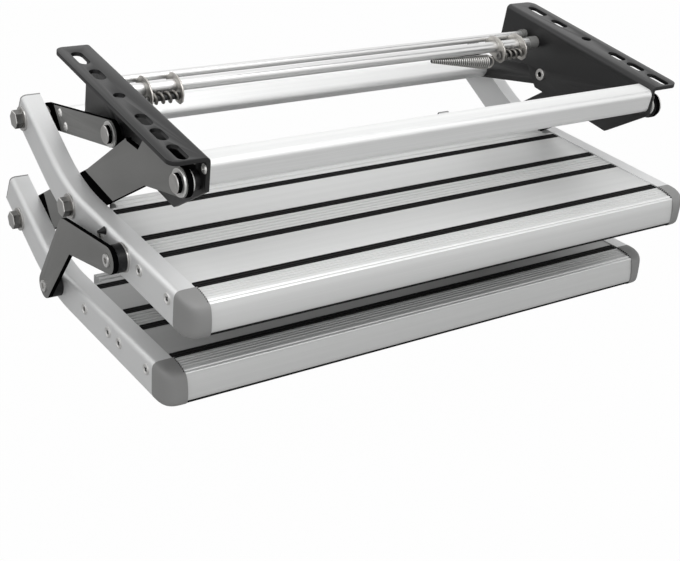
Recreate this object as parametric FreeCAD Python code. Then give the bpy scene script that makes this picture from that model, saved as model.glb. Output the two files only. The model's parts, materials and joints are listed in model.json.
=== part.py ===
"""Two-tread folding entry step, in millimetres.

X runs along the treads, Y to the rear of the bracket and Z up. The origin lies on the top plane of
the two mounting flanges, midway between their round holes. The steps are modelled folded up.
"""

import FreeCAD
import Part
import math
import os

from FreeCAD import Base

V = Base.Vector

# Stack of plates across the width, measured from the middle of the step, each from the one before
RUN_GAP = 0.3
HOLE_FIT = 0.05
RAIL_INNER = 281.0
RAIL_W = 20.0
LEVER_T = 6.0
LEVER_INNER = RAIL_INNER - RUN_GAP - LEVER_T
LINK_T = 5.0
LINK_ROOM = 0.7
LINK_INNER = LEVER_INNER - LINK_ROOM - LINK_T
PLATE_T = 4.0
SPACER_T = 3.8
PLATE_INNER = LINK_INNER - SPACER_T - PLATE_T
STABILISER_ROOM = 10.6
STABILISER_INNER = RAIL_INNER + RAIL_W + STABILISER_ROOM
STABILISER_T = 5.0

# Mounting brackets
FLANGE_W = 37.8
FLANGE_OUTER = PLATE_INNER + FLANGE_W
FLANGE_REAR = 112.0
FLANGE_FRONT = -128.0
FLANGE_CORNER_R = 9.0
BEND_R = 5.0
PLATE_REAR_LOW = -69.5
PLATE_KNEE = (59.0, -52.5)
PLATE_BELLY = (38.0, -73.0)
PLATE_TOE = (-80.0, -73.0)
PLATE_NOSE = (-130.5, -31.5)
HOLE_OUT = 22.8
HOLE_LINE = PLATE_INNER + HOLE_OUT
BOLT_HOLE_D = 11.0
LONG_SLOT = 28.0
SHORT_SLOT = 23.0
LONG_SLOT_Y = (84.0, -112.0)
SHORT_SLOT_Y = (46.0, -49.5, -78.5)

# Pivots of the folded linkage, as (Y, Z)
LEVER_PIVOT = (-115.5, -27.3)
LINK_PIVOT = (34.0, -55.4)
TRAVEL = 76.0

# Steps: each has its own level frame at the front strip on the tread's top
UPPER_DROP = 107.5
STEP_DROP = 93.1
UPPER_AT = (-152.0, -UPPER_DROP)
UPPER_TILT = 5.2
LOWER_AT = (-124.0, -UPPER_DROP - STEP_DROP)
LOWER_TILT = 7.8
UPPER_LEVER_HOLE = (212.0, -13.2)
UPPER_LINK_HOLE = (331.7, 32.8)
UPPER_STABILISER_HOLE = (93.3, -12.7)
LOWER_LEVER_HOLE = (310.9, 17.5)
LOWER_STABILISER_HOLE = (207.6, -12.9)

# Side rails
RAIL_H = 37.0
RAIL_TOP = 1.0
RAIL_FRONT = -5.0
RAIL_BEND_Y = 226.0
RAIL_BEND_R = 170.0
RAIL_ARM = 121.0
ARM_ANGLE = 27.0
RAIL_WALL = 2.0
RAIL_EDGE_R = 5.5
PLUG_T = 1.5

# Treads
TREAD_REAR = 186.0
TREAD_NOTCH_X = LEVER_INNER - 2.7
TREAD_NOTCH_Y = 166.0
PORT_R = 3.8
TREAD_T = 22.0
TREAD_SKIN = 2.2
NOSE_FRONT = -30.0
NOSE_DROP = 8.0
NOSE_H = 31.0
NOSE_HALF = RAIL_INNER - 4.0
TREAD_WEBS_Y = (30.0, 79.0, 127.0)
STRIP_Y = (157.0, 97.0, 61.0, 0.0)
STRIP_W = 8.5
STRIP_D = 2.4
STRIP_PROUD = 0.6
STRIP_HALF = RAIL_INNER - 1.5
GROOVE_PITCH = 5.5
GROOVE_D = 0.7
GROOVE_W = 2.2

# Front corner caps
CAP_EDGE_R = 14.0
CAP_FOOT_R = 10.0
CAP_SIDE_R = 9.0

# Linkage outlines
LEVER_EYE_R = 13.5
LEVER_ELBOW = (-40.0, -42.5)
LEVER_ELBOW_R = 24.0
LEVER_WAIST = (54.5, -122.8)
LEVER_WAIST_R = 20.0
LEVER_LOBE_R = 22.0
LEVER_END_R = 20.0
LEVER_NOTCH = ((-48.0, -14.0), (-35.0, -36.5), (-11.0, -39.0), (-5.0, -14.0))
LINK_R = 13.0
STABILISER_ELBOW = (33.0, -156.5)
STABILISER_ELBOW_R = 17.0
STABILISER_R = 13.2

# Cross tubes and rods
FRONT_TUBE = 25.0
FRONT_TUBE_AT = (-116.5, -16.5)
REAR_TUBE_LONG = 26.0
REAR_TUBE_SHORT = 16.0
REAR_TUBE_REACH = 115.5
REAR_TUBE_TURN = 29.0
TUBE_R = 6.0
TUBE_WALL = 2.5
LOCK_SHAFT_AT = (54.0, -23.5)
LOCK_SHAFT_R = 6.0
SLEEVE_R = 7.0
SLEEVE_L = 16.0
TIE_ROD_AT = (74.0, -21.5)
TIE_ROD_R = 4.0
COLLAR_R = 5.2
COLLAR_L = 7.0
EAR_IN = 62.2
EAR_OUT = 30.2
EAR_X = (PLATE_INNER - EAR_IN, PLATE_INNER - EAR_OUT)
EAR_T = 3.0
EAR_R = 10.5
EAR_END_R = 8.0
SPRING_PIN_AT = (43.0, -29.6)
SPRING_PIN_R = 3.0
SPRING_HEAD_R = 4.6
SPRING_HEAD_H = 1.2
SPRING_R = 6.2
SPRING_WALL = 2.2
SPRING_GAP = 0.5
RETURN_IN = (71.0, 112.0, 148.0, 154.0)
RETURN_AT = ((50.4, -39.4), (55.0, -36.4), (54.0, -31.8), (54.0, -31.8))
RETURN_R = (8.4, 5.2, 2.2, 2.2)
RETURN_WALL = 1.6
RETURN_HOOK_R = 1.4

# Fasteners
PIN_R = 5.0
WASHER_R = 12.5
WIDE_WASHER_R = 14.0
WASHER_T = 2.0
HEAD_R = 9.0
DOME_H = 4.5
HEX_FLATS = 17.0
HEX_H = 8.0
NUT_H = 4.5
SCREW_R = 4.6
SCREW_PROUD = 1.2
SCREW_SHANK_R = 2.4
SCREW_L = 9.0
UPPER_SCREWS = ((142.5, -13.0), (60.7, -10.6), (6.6, -11.1))
LOWER_SCREWS = ((142.5, -13.0), (88.2, -12.6), (64.1, -12.8), (6.8, -11.4))
TUBE_SCREWS = ((-125.5, -12.0), (-107.5, -12.0))
NYLON_T = 2.0
RIVET_R = 6.0
RIVET_H = 1.6
RIVET_HOLE_R = 3.0
RIVET_BORE = 4.0
STOP_AT = (133.0, -4.0)
STOP_R = 4.0
STOP_H = 7.0
LEVER_SPACER_R = 8.5
LINK_SPACER_R = 10.0
NYLON_R = 10.5

SIDES = {"left": -1.0, "right": 1.0}
STABILISER_SIDE = SIDES["left"]
RETURN_SIDE = SIDES["right"]


def turn(point, degrees, centre=(0.0, 0.0)):
    """A (Y, Z) point turned about a centre, from +Y towards +Z."""
    a = math.radians(degrees)
    y = point[0] - centre[0]
    z = point[1] - centre[1]
    return (
        centre[0] + y * math.cos(a) - z * math.sin(a),
        centre[1] + y * math.sin(a) + z * math.cos(a),
    )


def shift(point, by):
    return (point[0] + by[0], point[1] + by[1])


def upper_folded(point):
    return shift(turn(point, -UPPER_TILT), UPPER_AT)


def lower_folded(point):
    return shift(turn(point, -LOWER_TILT), LOWER_AT)


def moved(point, pivot, pivot_open, degrees):
    """Where a point of a step lies when its lever pivot has swung open and it has tilted level."""
    return shift(turn(point, degrees, pivot), (pivot_open[0] - pivot[0], pivot_open[1] - pivot[1]))


def moved_back(point, pivot, pivot_open, degrees):
    at = (point[0] - pivot_open[0] + pivot[0], point[1] - pivot_open[1] + pivot[1])
    return turn(at, -degrees, pivot)


def on_bisector(wanted, first, second):
    """The point nearest to the wanted one that is as far from the first point as from the second."""
    dy = second[0] - first[0]
    dz = second[1] - first[1]
    my = (first[0] + second[0]) / 2.0
    mz = (first[1] + second[1]) / 2.0
    off = ((wanted[0] - my) * dy + (wanted[1] - mz) * dz) / (dy * dy + dz * dz)
    return (wanted[0] - off * dy, wanted[1] - off * dz)


def bearing(start, end):
    return math.degrees(math.atan2(end[1] - start[1], end[0] - start[0]))


# Holes that close both loops exactly, folded and open
UPPER_LEVER = upper_folded(UPPER_LEVER_HOLE)
LOWER_LEVER = lower_folded(LOWER_LEVER_HOLE)
UPPER_OPEN = turn(UPPER_LEVER, -TRAVEL, LEVER_PIVOT)
LOWER_OPEN = turn(LOWER_LEVER, -TRAVEL, LEVER_PIVOT)
UPPER_LINK = on_bisector(
    upper_folded(UPPER_LINK_HOLE),
    LINK_PIVOT,
    moved_back(LINK_PIVOT, UPPER_LEVER, UPPER_OPEN, UPPER_TILT),
)

UPPER_STABILISER = upper_folded(UPPER_STABILISER_HOLE)
UPPER_STABILISER_OPEN = moved(UPPER_STABILISER, UPPER_LEVER, UPPER_OPEN, UPPER_TILT)
LOWER_STABILISER = on_bisector(
    lower_folded(LOWER_STABILISER_HOLE),
    UPPER_STABILISER,
    moved_back(UPPER_STABILISER_OPEN, LOWER_LEVER, LOWER_OPEN, LOWER_TILT),
)
UPPER_LINK_OPEN = moved(UPPER_LINK, UPPER_LEVER, UPPER_OPEN, UPPER_TILT)
LOWER_STABILISER_OPEN = moved(LOWER_STABILISER, LOWER_LEVER, LOWER_OPEN, LOWER_TILT)
LINK_LENGTH = math.dist(LINK_PIVOT, UPPER_LINK)


def point(x, yz):
    return V(x, yz[0], yz[1])


def face_at(x, outline):
    """A flat face across X from (Y, Z) corners."""
    corners = [point(x, p) for p in outline]
    return Part.Face(Part.makePolygon(corners + corners[:1]))


def slab(outline, x0, x1):
    return face_at(x0, outline).extrude(V(x1 - x0, 0, 0))


def side_span(side, inner, thickness):
    """Both ends along X of a layer on one side of the step."""
    return (side * inner, side * (inner + thickness))


def disc(centre, radius, x0, x1):
    return Part.makeCylinder(radius, abs(x1 - x0), point(min(x0, x1), centre), V(1, 0, 0))


def ring(centre, radius, hole, x0, x1):
    return disc(centre, radius, x0, x1).cut(disc(centre, hole, x0 - 1, x1 + 1))


def strap(start, end, r_start, r_end, x0, x1):
    """Two round ends joined by their outer tangents."""
    length = math.dist(start, end)
    along = math.radians(bearing(start, end))
    lean = math.acos((r_start - r_end) / length)
    corners = []
    for centre, radius, sign in (
        (start, r_start, 1),
        (end, r_end, 1),
        (end, r_end, -1),
        (start, r_start, -1),
    ):
        angle = along + sign * lean
        corners.append(shift(centre, (radius * math.cos(angle), radius * math.sin(angle))))
    body = slab(corners, x0, x1)
    return body.fuse([disc(start, r_start, x0, x1), disc(end, r_end, x0, x1)])


def tidy(shape):
    """One clean solid from a cut or fused shape."""
    done = shape.removeSplitter()
    if len(done.Solids) == 1:
        return done.Solids[0]
    return done


def drilled(shape, holes, x0, x1):
    """The shape with round holes along X, given as (centre, radius)."""
    return shape.cut([disc(centre, radius, x0 - 1, x1 + 1) for centre, radius in holes])


def hexagon(centre, flats, x0, x1):
    across = flats / math.sqrt(3.0)
    corners = [
        shift(centre, (across * math.cos(math.radians(60 * k)), across * math.sin(math.radians(60 * k))))
        for k in range(6)
    ]
    prism = slab(corners, x0, x1)
    chamfer = Part.makeCone(
        flats / 2.0 + abs(x1 - x0),
        flats / 2.0,
        abs(x1 - x0),
        point(x0, centre),
        V(x1 - x0, 0, 0),
    )
    return prism.common(chamfer)


def rounded_bar(centre, width, height, radius, turned, x0, x1):
    """A square or oblong bar along X with rounded long edges, turned about its axis."""
    box = Part.makeBox(x1 - x0, width, height, V(x0, centre[0] - width / 2.0, centre[1] - height / 2.0))
    long_edges = [e for e in box.Edges if abs(e.tangentAt(e.FirstParameter).x) > 0.9]
    bar = box.makeFillet(radius, long_edges)
    bar.rotate(point(0, centre), V(1, 0, 0), turned)
    return bar


def export(name, shape):
    solids = shape.Solids
    if not solids or not shape.isValid():
        raise ValueError(name + " is not a valid solid")
    shape.exportStep("parts/" + name + ".step")
    print(name, len(solids), "solids", round(shape.Volume / 1000.0, 2), "cm3")


def group(solids):
    """Separate like solids kept in one file."""
    out = []
    for s in solids:
        out.extend(s.Solids)
    return Part.makeCompound(out)


def in_upper(shape):
    shape.rotate(V(0, 0, 0), V(1, 0, 0), -UPPER_TILT)
    shape.translate(point(0, UPPER_AT))
    return shape


def in_lower(shape):
    shape.rotate(V(0, 0, 0), V(1, 0, 0), -LOWER_TILT)
    shape.translate(point(0, LOWER_AT))
    return shape


def slot_cutter(side, y, length):
    """An upright round-ended cutter through the flange, or a round one where the length is its width."""
    r = BOLT_HOLE_D / 2.0
    half = (length - BOLT_HOLE_D) / 2.0
    depth = PLATE_T + 2.0
    base = -PLATE_T - 1.0
    x = side * HOLE_LINE
    cutter = Part.makeCylinder(r, depth, V(x, y - half, base))
    if half <= 0:
        return cutter
    bar = Part.makeBox(2 * r, 2 * half, depth, V(x - r, y - half, base))
    return cutter.fuse([bar, Part.makeCylinder(r, depth, V(x, y + half, base))])


def bracket(side):
    """Bent plate: a slotted flange on top and a cranked side plate with the two fixed pivots."""
    inner = PLATE_INNER
    outer = FLANGE_OUTER
    drop = min(PLATE_BELLY[1], PLATE_TOE[1], PLATE_REAR_LOW) - 5.0
    length = FLANGE_REAR - PLATE_NOSE[0]
    corners = [
        V(side * inner, PLATE_NOSE[0], 0),
        V(side * outer, PLATE_NOSE[0], 0),
        V(side * outer, PLATE_NOSE[0], -PLATE_T),
        V(side * (inner + PLATE_T), PLATE_NOSE[0], -PLATE_T),
        V(side * (inner + PLATE_T), PLATE_NOSE[0], drop),
        V(side * inner, PLATE_NOSE[0], drop),
    ]
    angle = Part.Face(Part.makePolygon(corners + corners[:1])).extrude(V(0, length, 0))
    along = [e for e in angle.Edges if abs(e.tangentAt(e.FirstParameter).y) > 0.9]

    def near(edge, x, z):
        mid = edge.CenterOfMass
        return abs(mid.x - side * x) < 0.1 and abs(mid.z - z) < 0.1

    angle = angle.makeFillet(BEND_R, [e for e in along if near(e, inner, 0.0)])
    along = [e for e in angle.Edges if abs(e.tangentAt(e.FirstParameter).y) > 0.9]
    angle = angle.makeFillet(
        BEND_R - PLATE_T, [e for e in along if near(e, inner + PLATE_T, -PLATE_T)]
    )
    outline = [
        (FLANGE_REAR, 1.0),
        (FLANGE_REAR, PLATE_REAR_LOW),
        PLATE_KNEE,
        PLATE_BELLY,
        PLATE_TOE,
        PLATE_NOSE,
        (FLANGE_FRONT, 1.0),
    ]
    plan = slab(outline, side * (inner - 1), side * (outer + 1))
    body = angle.common(plan)
    uprights = [
        e
        for e in body.Edges
        if abs(e.tangentAt(e.FirstParameter).z) > 0.9 and abs(abs(e.CenterOfMass.x) - outer) < 0.1
    ]
    body = body.makeFillet(FLANGE_CORNER_R, uprights)
    cutters = [slot_cutter(side, y, LONG_SLOT) for y in LONG_SLOT_Y]
    cutters += [slot_cutter(side, y, SHORT_SLOT) for y in SHORT_SLOT_Y]
    cutters.append(slot_cutter(side, 0.0, BOLT_HOLE_D))
    body = body.cut(cutters)
    x0, x1 = sorted(side_span(side, inner, PLATE_T))
    holes = [(LEVER_PIVOT, PIN_R), (LINK_PIVOT, PIN_R)]
    holes += [(at, SCREW_SHANK_R) for at in TUBE_SCREWS]
    return tidy(drilled(body, holes, x0, x1))


def front_tube():
    outer = rounded_bar(FRONT_TUBE_AT, FRONT_TUBE, FRONT_TUBE, TUBE_R, 0.0, -PLATE_INNER, PLATE_INNER)
    clear = FRONT_TUBE - 2 * TUBE_WALL
    core = rounded_bar(
        FRONT_TUBE_AT, clear, clear, TUBE_R - TUBE_WALL, 0.0, -PLATE_INNER - 1, PLATE_INNER + 1
    )
    body = outer.cut(core)
    ports = [disc(at, SCREW_SHANK_R + 1.8, -PLATE_INNER, PLATE_INNER) for at in TUBE_SCREWS]
    body = body.fuse([p.common(outer) for p in ports])
    return tidy(drilled(body, [(at, SCREW_SHANK_R) for at in TUBE_SCREWS], -PLATE_INNER, PLATE_INNER))


def pan_screw(centre, side, seat, length):
    """A low round-headed screw whose head sits on a face at the given X, shank pointing inwards."""
    head = Part.makeCone(
        SCREW_R, SCREW_R * 0.7, SCREW_PROUD, point(side * seat, centre), V(side, 0, 0)
    )
    recess = Part.makeCylinder(
        SCREW_R * 0.32, SCREW_PROUD, point(side * (seat + 0.5), centre), V(side, 0, 0)
    )
    shank = disc(centre, SCREW_SHANK_R, side * (seat - length), side * seat)
    return tidy(head.cut(recess).fuse(shank))


def front_tube_screws():
    seat = PLATE_INNER + PLATE_T
    return group(
        [pan_screw(at, side, seat, SCREW_L + PLATE_T) for side in SIDES.values() for at in TUBE_SCREWS]
    )


def fixed_pin(side, centre, last):
    """A pivot pin flush with the inside of the bracket plate, with a head past the outermost layer."""
    end = last + RUN_GAP + WASHER_T
    shank = disc(centre, PIN_R, side * PLATE_INNER, side * (end + DOME_H))
    head = Part.makeCone(
        HEAD_R, HEAD_R - 1.5, DOME_H, point(side * end, centre), V(side, 0, 0)
    )
    return tidy(shank.fuse(head))


def front_pivot(side):
    return fixed_pin(side, LEVER_PIVOT, LEVER_INNER + LEVER_T)


def rear_pivot(side):
    """The rear pin also has a rolled eyelet inside the bracket."""
    tail = disc(LINK_PIVOT, RIVET_R, side * (PLATE_INNER - RIVET_H), side * PLATE_INNER)
    bore = disc(
        LINK_PIVOT,
        RIVET_HOLE_R,
        side * (PLATE_INNER - RIVET_H - 1),
        side * (PLATE_INNER + RIVET_BORE),
    )
    return tidy(fixed_pin(side, LINK_PIVOT, LINK_INNER + LINK_T).fuse(tail).cut(bore))


def washer_on(side, centre, inner, radius=WASHER_R, thickness=WASHER_T, hole=PIN_R):
    return ring(centre, radius, hole, *sorted((side * inner, side * (inner + thickness))))


def pivot_washers():
    """Steel washers under the heads of the four fixed pins."""
    out = []
    for side in SIDES.values():
        out.append(washer_on(side, LEVER_PIVOT, LEVER_INNER + LEVER_T + RUN_GAP))
        out.append(washer_on(side, LINK_PIVOT, LINK_INNER + LINK_T + RUN_GAP))
    return group(out)


def pivot_spacers():
    """Black spacers between the bracket plates and the swinging parts."""
    seat = PLATE_INNER + PLATE_T
    lever_room = LEVER_INNER - seat - NYLON_T - 2 * RUN_GAP
    out = []
    for side in SIDES.values():
        out.append(washer_on(side, LEVER_PIVOT, seat, LEVER_SPACER_R, lever_room))
        out.append(washer_on(side, LINK_PIVOT, seat, LINK_SPACER_R, LINK_INNER - seat - RUN_GAP))
    return group(out)


def nylon_washers():
    at = LEVER_INNER - RUN_GAP - NYLON_T
    return group([washer_on(side, LEVER_PIVOT, at, NYLON_R, NYLON_T) for side in SIDES.values()])


def lever(side):
    """Main lever: front eye, wide elbowed body, lobe at the upper step and end eye at the lower step."""
    x0, x1 = sorted(side_span(side, LEVER_INNER, LEVER_T))
    body = strap(LEVER_PIVOT, LEVER_ELBOW, LEVER_EYE_R, LEVER_ELBOW_R, x0, x1)
    body = body.fuse(
        [
            strap(LEVER_ELBOW, LEVER_WAIST, LEVER_ELBOW_R, LEVER_WAIST_R, x0, x1),
            strap(LEVER_WAIST, LOWER_LEVER, LEVER_WAIST_R, LEVER_END_R, x0, x1),
            strap(LEVER_WAIST, UPPER_LEVER, LEVER_WAIST_R, LEVER_LOBE_R, x0, x1),
        ]
    )
    body = body.cut(slab(LEVER_NOTCH, x0 - 1, x1 + 1))
    run = PIN_R + HOLE_FIT
    return tidy(drilled(body, [(LEVER_PIVOT, run), (UPPER_LEVER, run), (LOWER_LEVER, run)], x0, x1))


def rear_tube_centre():
    share = REAR_TUBE_REACH / LINK_LENGTH
    return shift(
        LINK_PIVOT,
        ((UPPER_LINK[0] - LINK_PIVOT[0]) * share, (UPPER_LINK[1] - LINK_PIVOT[1]) * share),
    )


def rear_screw_points():
    centre = rear_tube_centre()
    half = REAR_TUBE_LONG / 2.0 - TUBE_WALL - 2.0
    return [turn(shift(centre, (sign * half, 0.0)), REAR_TUBE_TURN, centre) for sign in (-1, 1)]


def rear_link(side):
    """Flat link from the bracket to the rear end of the upper rail."""
    x0, x1 = sorted(side_span(side, LINK_INNER, LINK_T))
    body = strap(LINK_PIVOT, UPPER_LINK, LINK_R, LINK_R, x0, x1)
    holes = [(LINK_PIVOT, PIN_R + HOLE_FIT), (UPPER_LINK, PIN_R)]
    holes += [(at, SCREW_SHANK_R) for at in rear_screw_points()]
    return tidy(drilled(body, holes, x0, x1))


def rear_tube():
    """Cross tube that ties the two rear links together and swings with them."""
    centre = rear_tube_centre()
    outer = rounded_bar(
        centre, REAR_TUBE_LONG, REAR_TUBE_SHORT, TUBE_R, REAR_TUBE_TURN, -LINK_INNER, LINK_INNER
    )
    core = rounded_bar(
        centre,
        REAR_TUBE_LONG - 2 * TUBE_WALL,
        REAR_TUBE_SHORT - 2 * TUBE_WALL,
        TUBE_R - TUBE_WALL,
        REAR_TUBE_TURN,
        -LINK_INNER - 1,
        LINK_INNER + 1,
    )
    body = outer.cut(core)
    ports = [disc(at, SCREW_SHANK_R + 1.8, -LINK_INNER, LINK_INNER) for at in rear_screw_points()]
    body = body.fuse([p.common(outer) for p in ports])
    return tidy(drilled(body, [(at, SCREW_SHANK_R) for at in rear_screw_points()], -LINK_INNER, LINK_INNER))


def rear_tube_screws():
    seat = LINK_INNER + LINK_T
    return group(
        [pan_screw(at, side, seat, SCREW_L + LINK_T) for side in SIDES.values() for at in rear_screw_points()]
    )


def rear_link_studs():
    """Stud at the rear end of each link, seated against the inside of the upper rail."""
    out = []
    for side in SIDES.values():
        nut = hexagon(UPPER_LINK, HEX_FLATS, side * LINK_INNER, side * (LINK_INNER - NUT_H))
        shank = disc(UPPER_LINK, PIN_R, side * LINK_INNER, side * (RAIL_INNER - RUN_GAP))
        collar = disc(UPPER_LINK, LINK_R - 3.0, side * (LINK_INNER + LINK_T), side * (RAIL_INNER - RUN_GAP))
        out.append(tidy(nut.fuse([shank, collar])))
    return group(out)


def rail_outline(inset):
    """Hockey-stick side view of a rail in its step's level frame, set in from the true edge."""
    a = math.radians(ARM_ANGLE)
    reach = RAIL_BEND_R * math.tan(a / 2.0)
    top = RAIL_TOP - inset
    centre = V(0, RAIL_BEND_Y - reach, RAIL_TOP + RAIL_BEND_R)
    r_top = RAIL_BEND_R + inset
    r_low = RAIL_BEND_R + RAIL_H - inset
    end = V(0, RAIL_BEND_Y + RAIL_ARM * math.cos(a), RAIL_TOP + RAIL_ARM * math.sin(a))
    down = V(0, math.sin(a), -math.cos(a))

    def on_arc(radius, angle):
        return V(0, centre.y + radius * math.sin(angle), centre.z - radius * math.cos(angle))

    top_front = V(0, RAIL_FRONT, top)
    low_front = V(0, RAIL_FRONT, RAIL_TOP - RAIL_H + inset)
    top_end = end + down * inset
    low_end = end + down * (RAIL_H - inset)
    edges = [
        Part.LineSegment(top_front, on_arc(r_top, 0)).toShape(),
        Part.Arc(on_arc(r_top, 0), on_arc(r_top, a / 2), on_arc(r_top, a)).toShape(),
        Part.LineSegment(on_arc(r_top, a), top_end).toShape(),
        Part.LineSegment(top_end, low_end).toShape(),
        Part.LineSegment(low_end, on_arc(r_low, a)).toShape(),
        Part.Arc(on_arc(r_low, a), on_arc(r_low, a / 2), on_arc(r_low, 0)).toShape(),
        Part.LineSegment(on_arc(r_low, 0), low_front).toShape(),
        Part.LineSegment(low_front, top_front).toShape(),
    ]
    return Part.Wire(edges)


def rail(side, pivots, screws):
    """Bent hollow side rail, rounded on its outer edges, drilled for its pivots and tread screws."""
    x0 = side * RAIL_INNER
    x1 = side * (RAIL_INNER + RAIL_W)
    body = Part.Face(rail_outline(0.0)).extrude(V(x1 - x0, 0, 0))
    body.translate(V(x0, 0, 0))

    def long_edge(edge):
        box = edge.BoundBox
        flat = box.XLength < 0.01 and abs(box.Center.x - x1) < 0.01
        return flat and edge.Length > RAIL_H + 2.0

    body = body.makeFillet(RAIL_EDGE_R, [e for e in body.Edges if long_edge(e)])
    core = Part.Face(rail_outline(RAIL_WALL)).extrude(V(side * (RAIL_W - 2 * RAIL_WALL), 0, 0))
    core.translate(V(x0 + side * RAIL_WALL, 0, 0))
    body = body.cut(core)
    low, high = sorted((x0, x1))
    holes = [(at, PIN_R) for at in pivots] + [(at, SCREW_SHANK_R) for at in screws]
    return tidy(drilled(body, holes, low, high))


def rail_plug(side):
    """Thin moulded plug that closes the rear end of a rail."""
    a = math.radians(ARM_ANGLE)
    box = Part.makeBox(RAIL_W, PLUG_T, RAIL_H)
    sides = [e for e in box.Edges if abs(e.tangentAt(e.FirstParameter).y) > 0.9]
    outer = 0.0 if side < 0 else RAIL_W
    box = box.makeFillet(RAIL_EDGE_R, [e for e in sides if abs(e.CenterOfMass.x - outer) < 0.1])
    spigot = Part.makeBox(
        RAIL_W - 2 * RAIL_WALL, 6.0, RAIL_H - 2 * RAIL_WALL, V(RAIL_WALL, -6.0, RAIL_WALL)
    )
    plug = box.fuse(spigot)
    plug.translate(V(min(side * RAIL_INNER, side * (RAIL_INNER + RAIL_W)), 0, -RAIL_H))
    plug.rotate(V(0, 0, 0), V(1, 0, 0), ARM_ANGLE)
    plug.translate(
        V(0, RAIL_BEND_Y + RAIL_ARM * math.cos(a), RAIL_TOP + RAIL_ARM * math.sin(a))
    )
    return tidy(plug)


def nose_outline(proud, back, foot):
    """Side view of the tread's nose: a crowned top edge that turns down into a raked front face."""
    start = V(0, RAIL_FRONT, proud)
    crown = V(0, NOSE_FRONT * 0.55, proud - NOSE_DROP * 0.28)
    brow = V(0, NOSE_FRONT + 4.0 - proud, -NOSE_DROP + 2.5 + proud)
    chin = V(0, NOSE_FRONT + 1.5 - proud, -NOSE_DROP - 3.0)
    toe = V(0, NOSE_FRONT - 2.0 - proud, foot)
    corners = [brow, chin, toe, V(0, back, foot), V(0, back, proud)]
    if back > RAIL_FRONT:
        corners.append(start)
    edges = [Part.Arc(start, crown, brow).toShape()]
    edges += [Part.LineSegment(a, b).toShape() for a, b in zip(corners, corners[1:])]
    return Part.Wire(edges)


def groove_places():
    """Where the fine ribs stand: between the middle strips and on the top of the nose."""
    low = STRIP_Y[2] + STRIP_W / 2.0 + GROOVE_PITCH
    high = STRIP_Y[1] - STRIP_W / 2.0 - GROOVE_PITCH / 2.0
    places = []
    while low <= high:
        places.append(low)
        low += GROOVE_PITCH
    return places


def tread(screws):
    """Extruded hollow plank with strip channels, fine ribs, screw ports and a rounded nose."""
    half = RAIL_INNER
    skin = TREAD_SKIN
    deck = Part.makeBox(2 * half, TREAD_REAR - RAIL_FRONT, TREAD_T, V(-half, RAIL_FRONT, -TREAD_T))
    nose = Part.Face(nose_outline(0.0, RAIL_FRONT + 10.0, -NOSE_H)).extrude(V(2 * NOSE_HALF, 0, 0))
    nose.translate(V(-NOSE_HALF, 0, 0))
    body = deck.fuse(nose)
    channel_floor = STRIP_D + skin
    cells = []
    walls = (RAIL_FRONT + 10.0,) + TREAD_WEBS_Y + (TREAD_REAR,)
    for front, rear in zip(walls, walls[1:]):
        lower_front = front + (skin if front > RAIL_FRONT + 10.0 else 0.0)
        cells.append(
            Part.makeBox(
                2 * half + 2,
                rear - lower_front - skin,
                TREAD_T - skin - channel_floor,
                V(-half - 1, lower_front, -TREAD_T + skin),
            )
        )
    cells.append(
        Part.makeBox(
            2 * half + 2,
            RAIL_FRONT + 10.0 - skin - (NOSE_FRONT + 4.0 + skin),
            NOSE_H - NOSE_DROP - 2 * skin,
            V(-half - 1, NOSE_FRONT + 4.0 + skin, -NOSE_H + skin),
        )
    )
    cuts = list(cells)
    for y in STRIP_Y:
        cuts.append(
            Part.makeBox(2 * STRIP_HALF, STRIP_W, STRIP_D + 1, V(-STRIP_HALF, y - STRIP_W / 2.0, -STRIP_D))
        )
    for y in groove_places():
        cuts.append(
            Part.makeBox(2 * half + 2, GROOVE_W, GROOVE_D + 1, V(-half - 1, y - GROOVE_W / 2.0, -GROOVE_D))
        )
    ports = [disc(at, PORT_R, -half, half).common(deck) for at in screws]
    body = body.cut(cuts).fuse(ports)
    for sign in SIDES.values():
        x0 = min(sign * TREAD_NOTCH_X, sign * (half + 1.0))
        notch = Part.makeBox(
            half + 1.0 - TREAD_NOTCH_X,
            TREAD_REAR,
            TREAD_T + 2.0,
            V(x0, TREAD_NOTCH_Y, -TREAD_T - 1.0),
        )
        body = body.cut(notch)
    return tidy(drilled(body, [(at, SCREW_SHANK_R) for at in screws], -half, half))


def strips():
    """Ribbed rubber strips pressed into the tread's channels."""
    out = []
    for y in STRIP_Y:
        low = Part.makeBox(2 * STRIP_HALF, STRIP_W, STRIP_D, V(-STRIP_HALF, y - STRIP_W / 2.0, -STRIP_D))
        rib = STRIP_W / 5.0
        ribs = [
            Part.makeBox(
                2 * STRIP_HALF, rib, STRIP_PROUD, V(-STRIP_HALF, y - STRIP_W / 2.0 + k * 2 * rib, 0)
            )
            for k in range(3)
        ]
        out.append(tidy(low.fuse(ribs)))
    return group(out)


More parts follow.
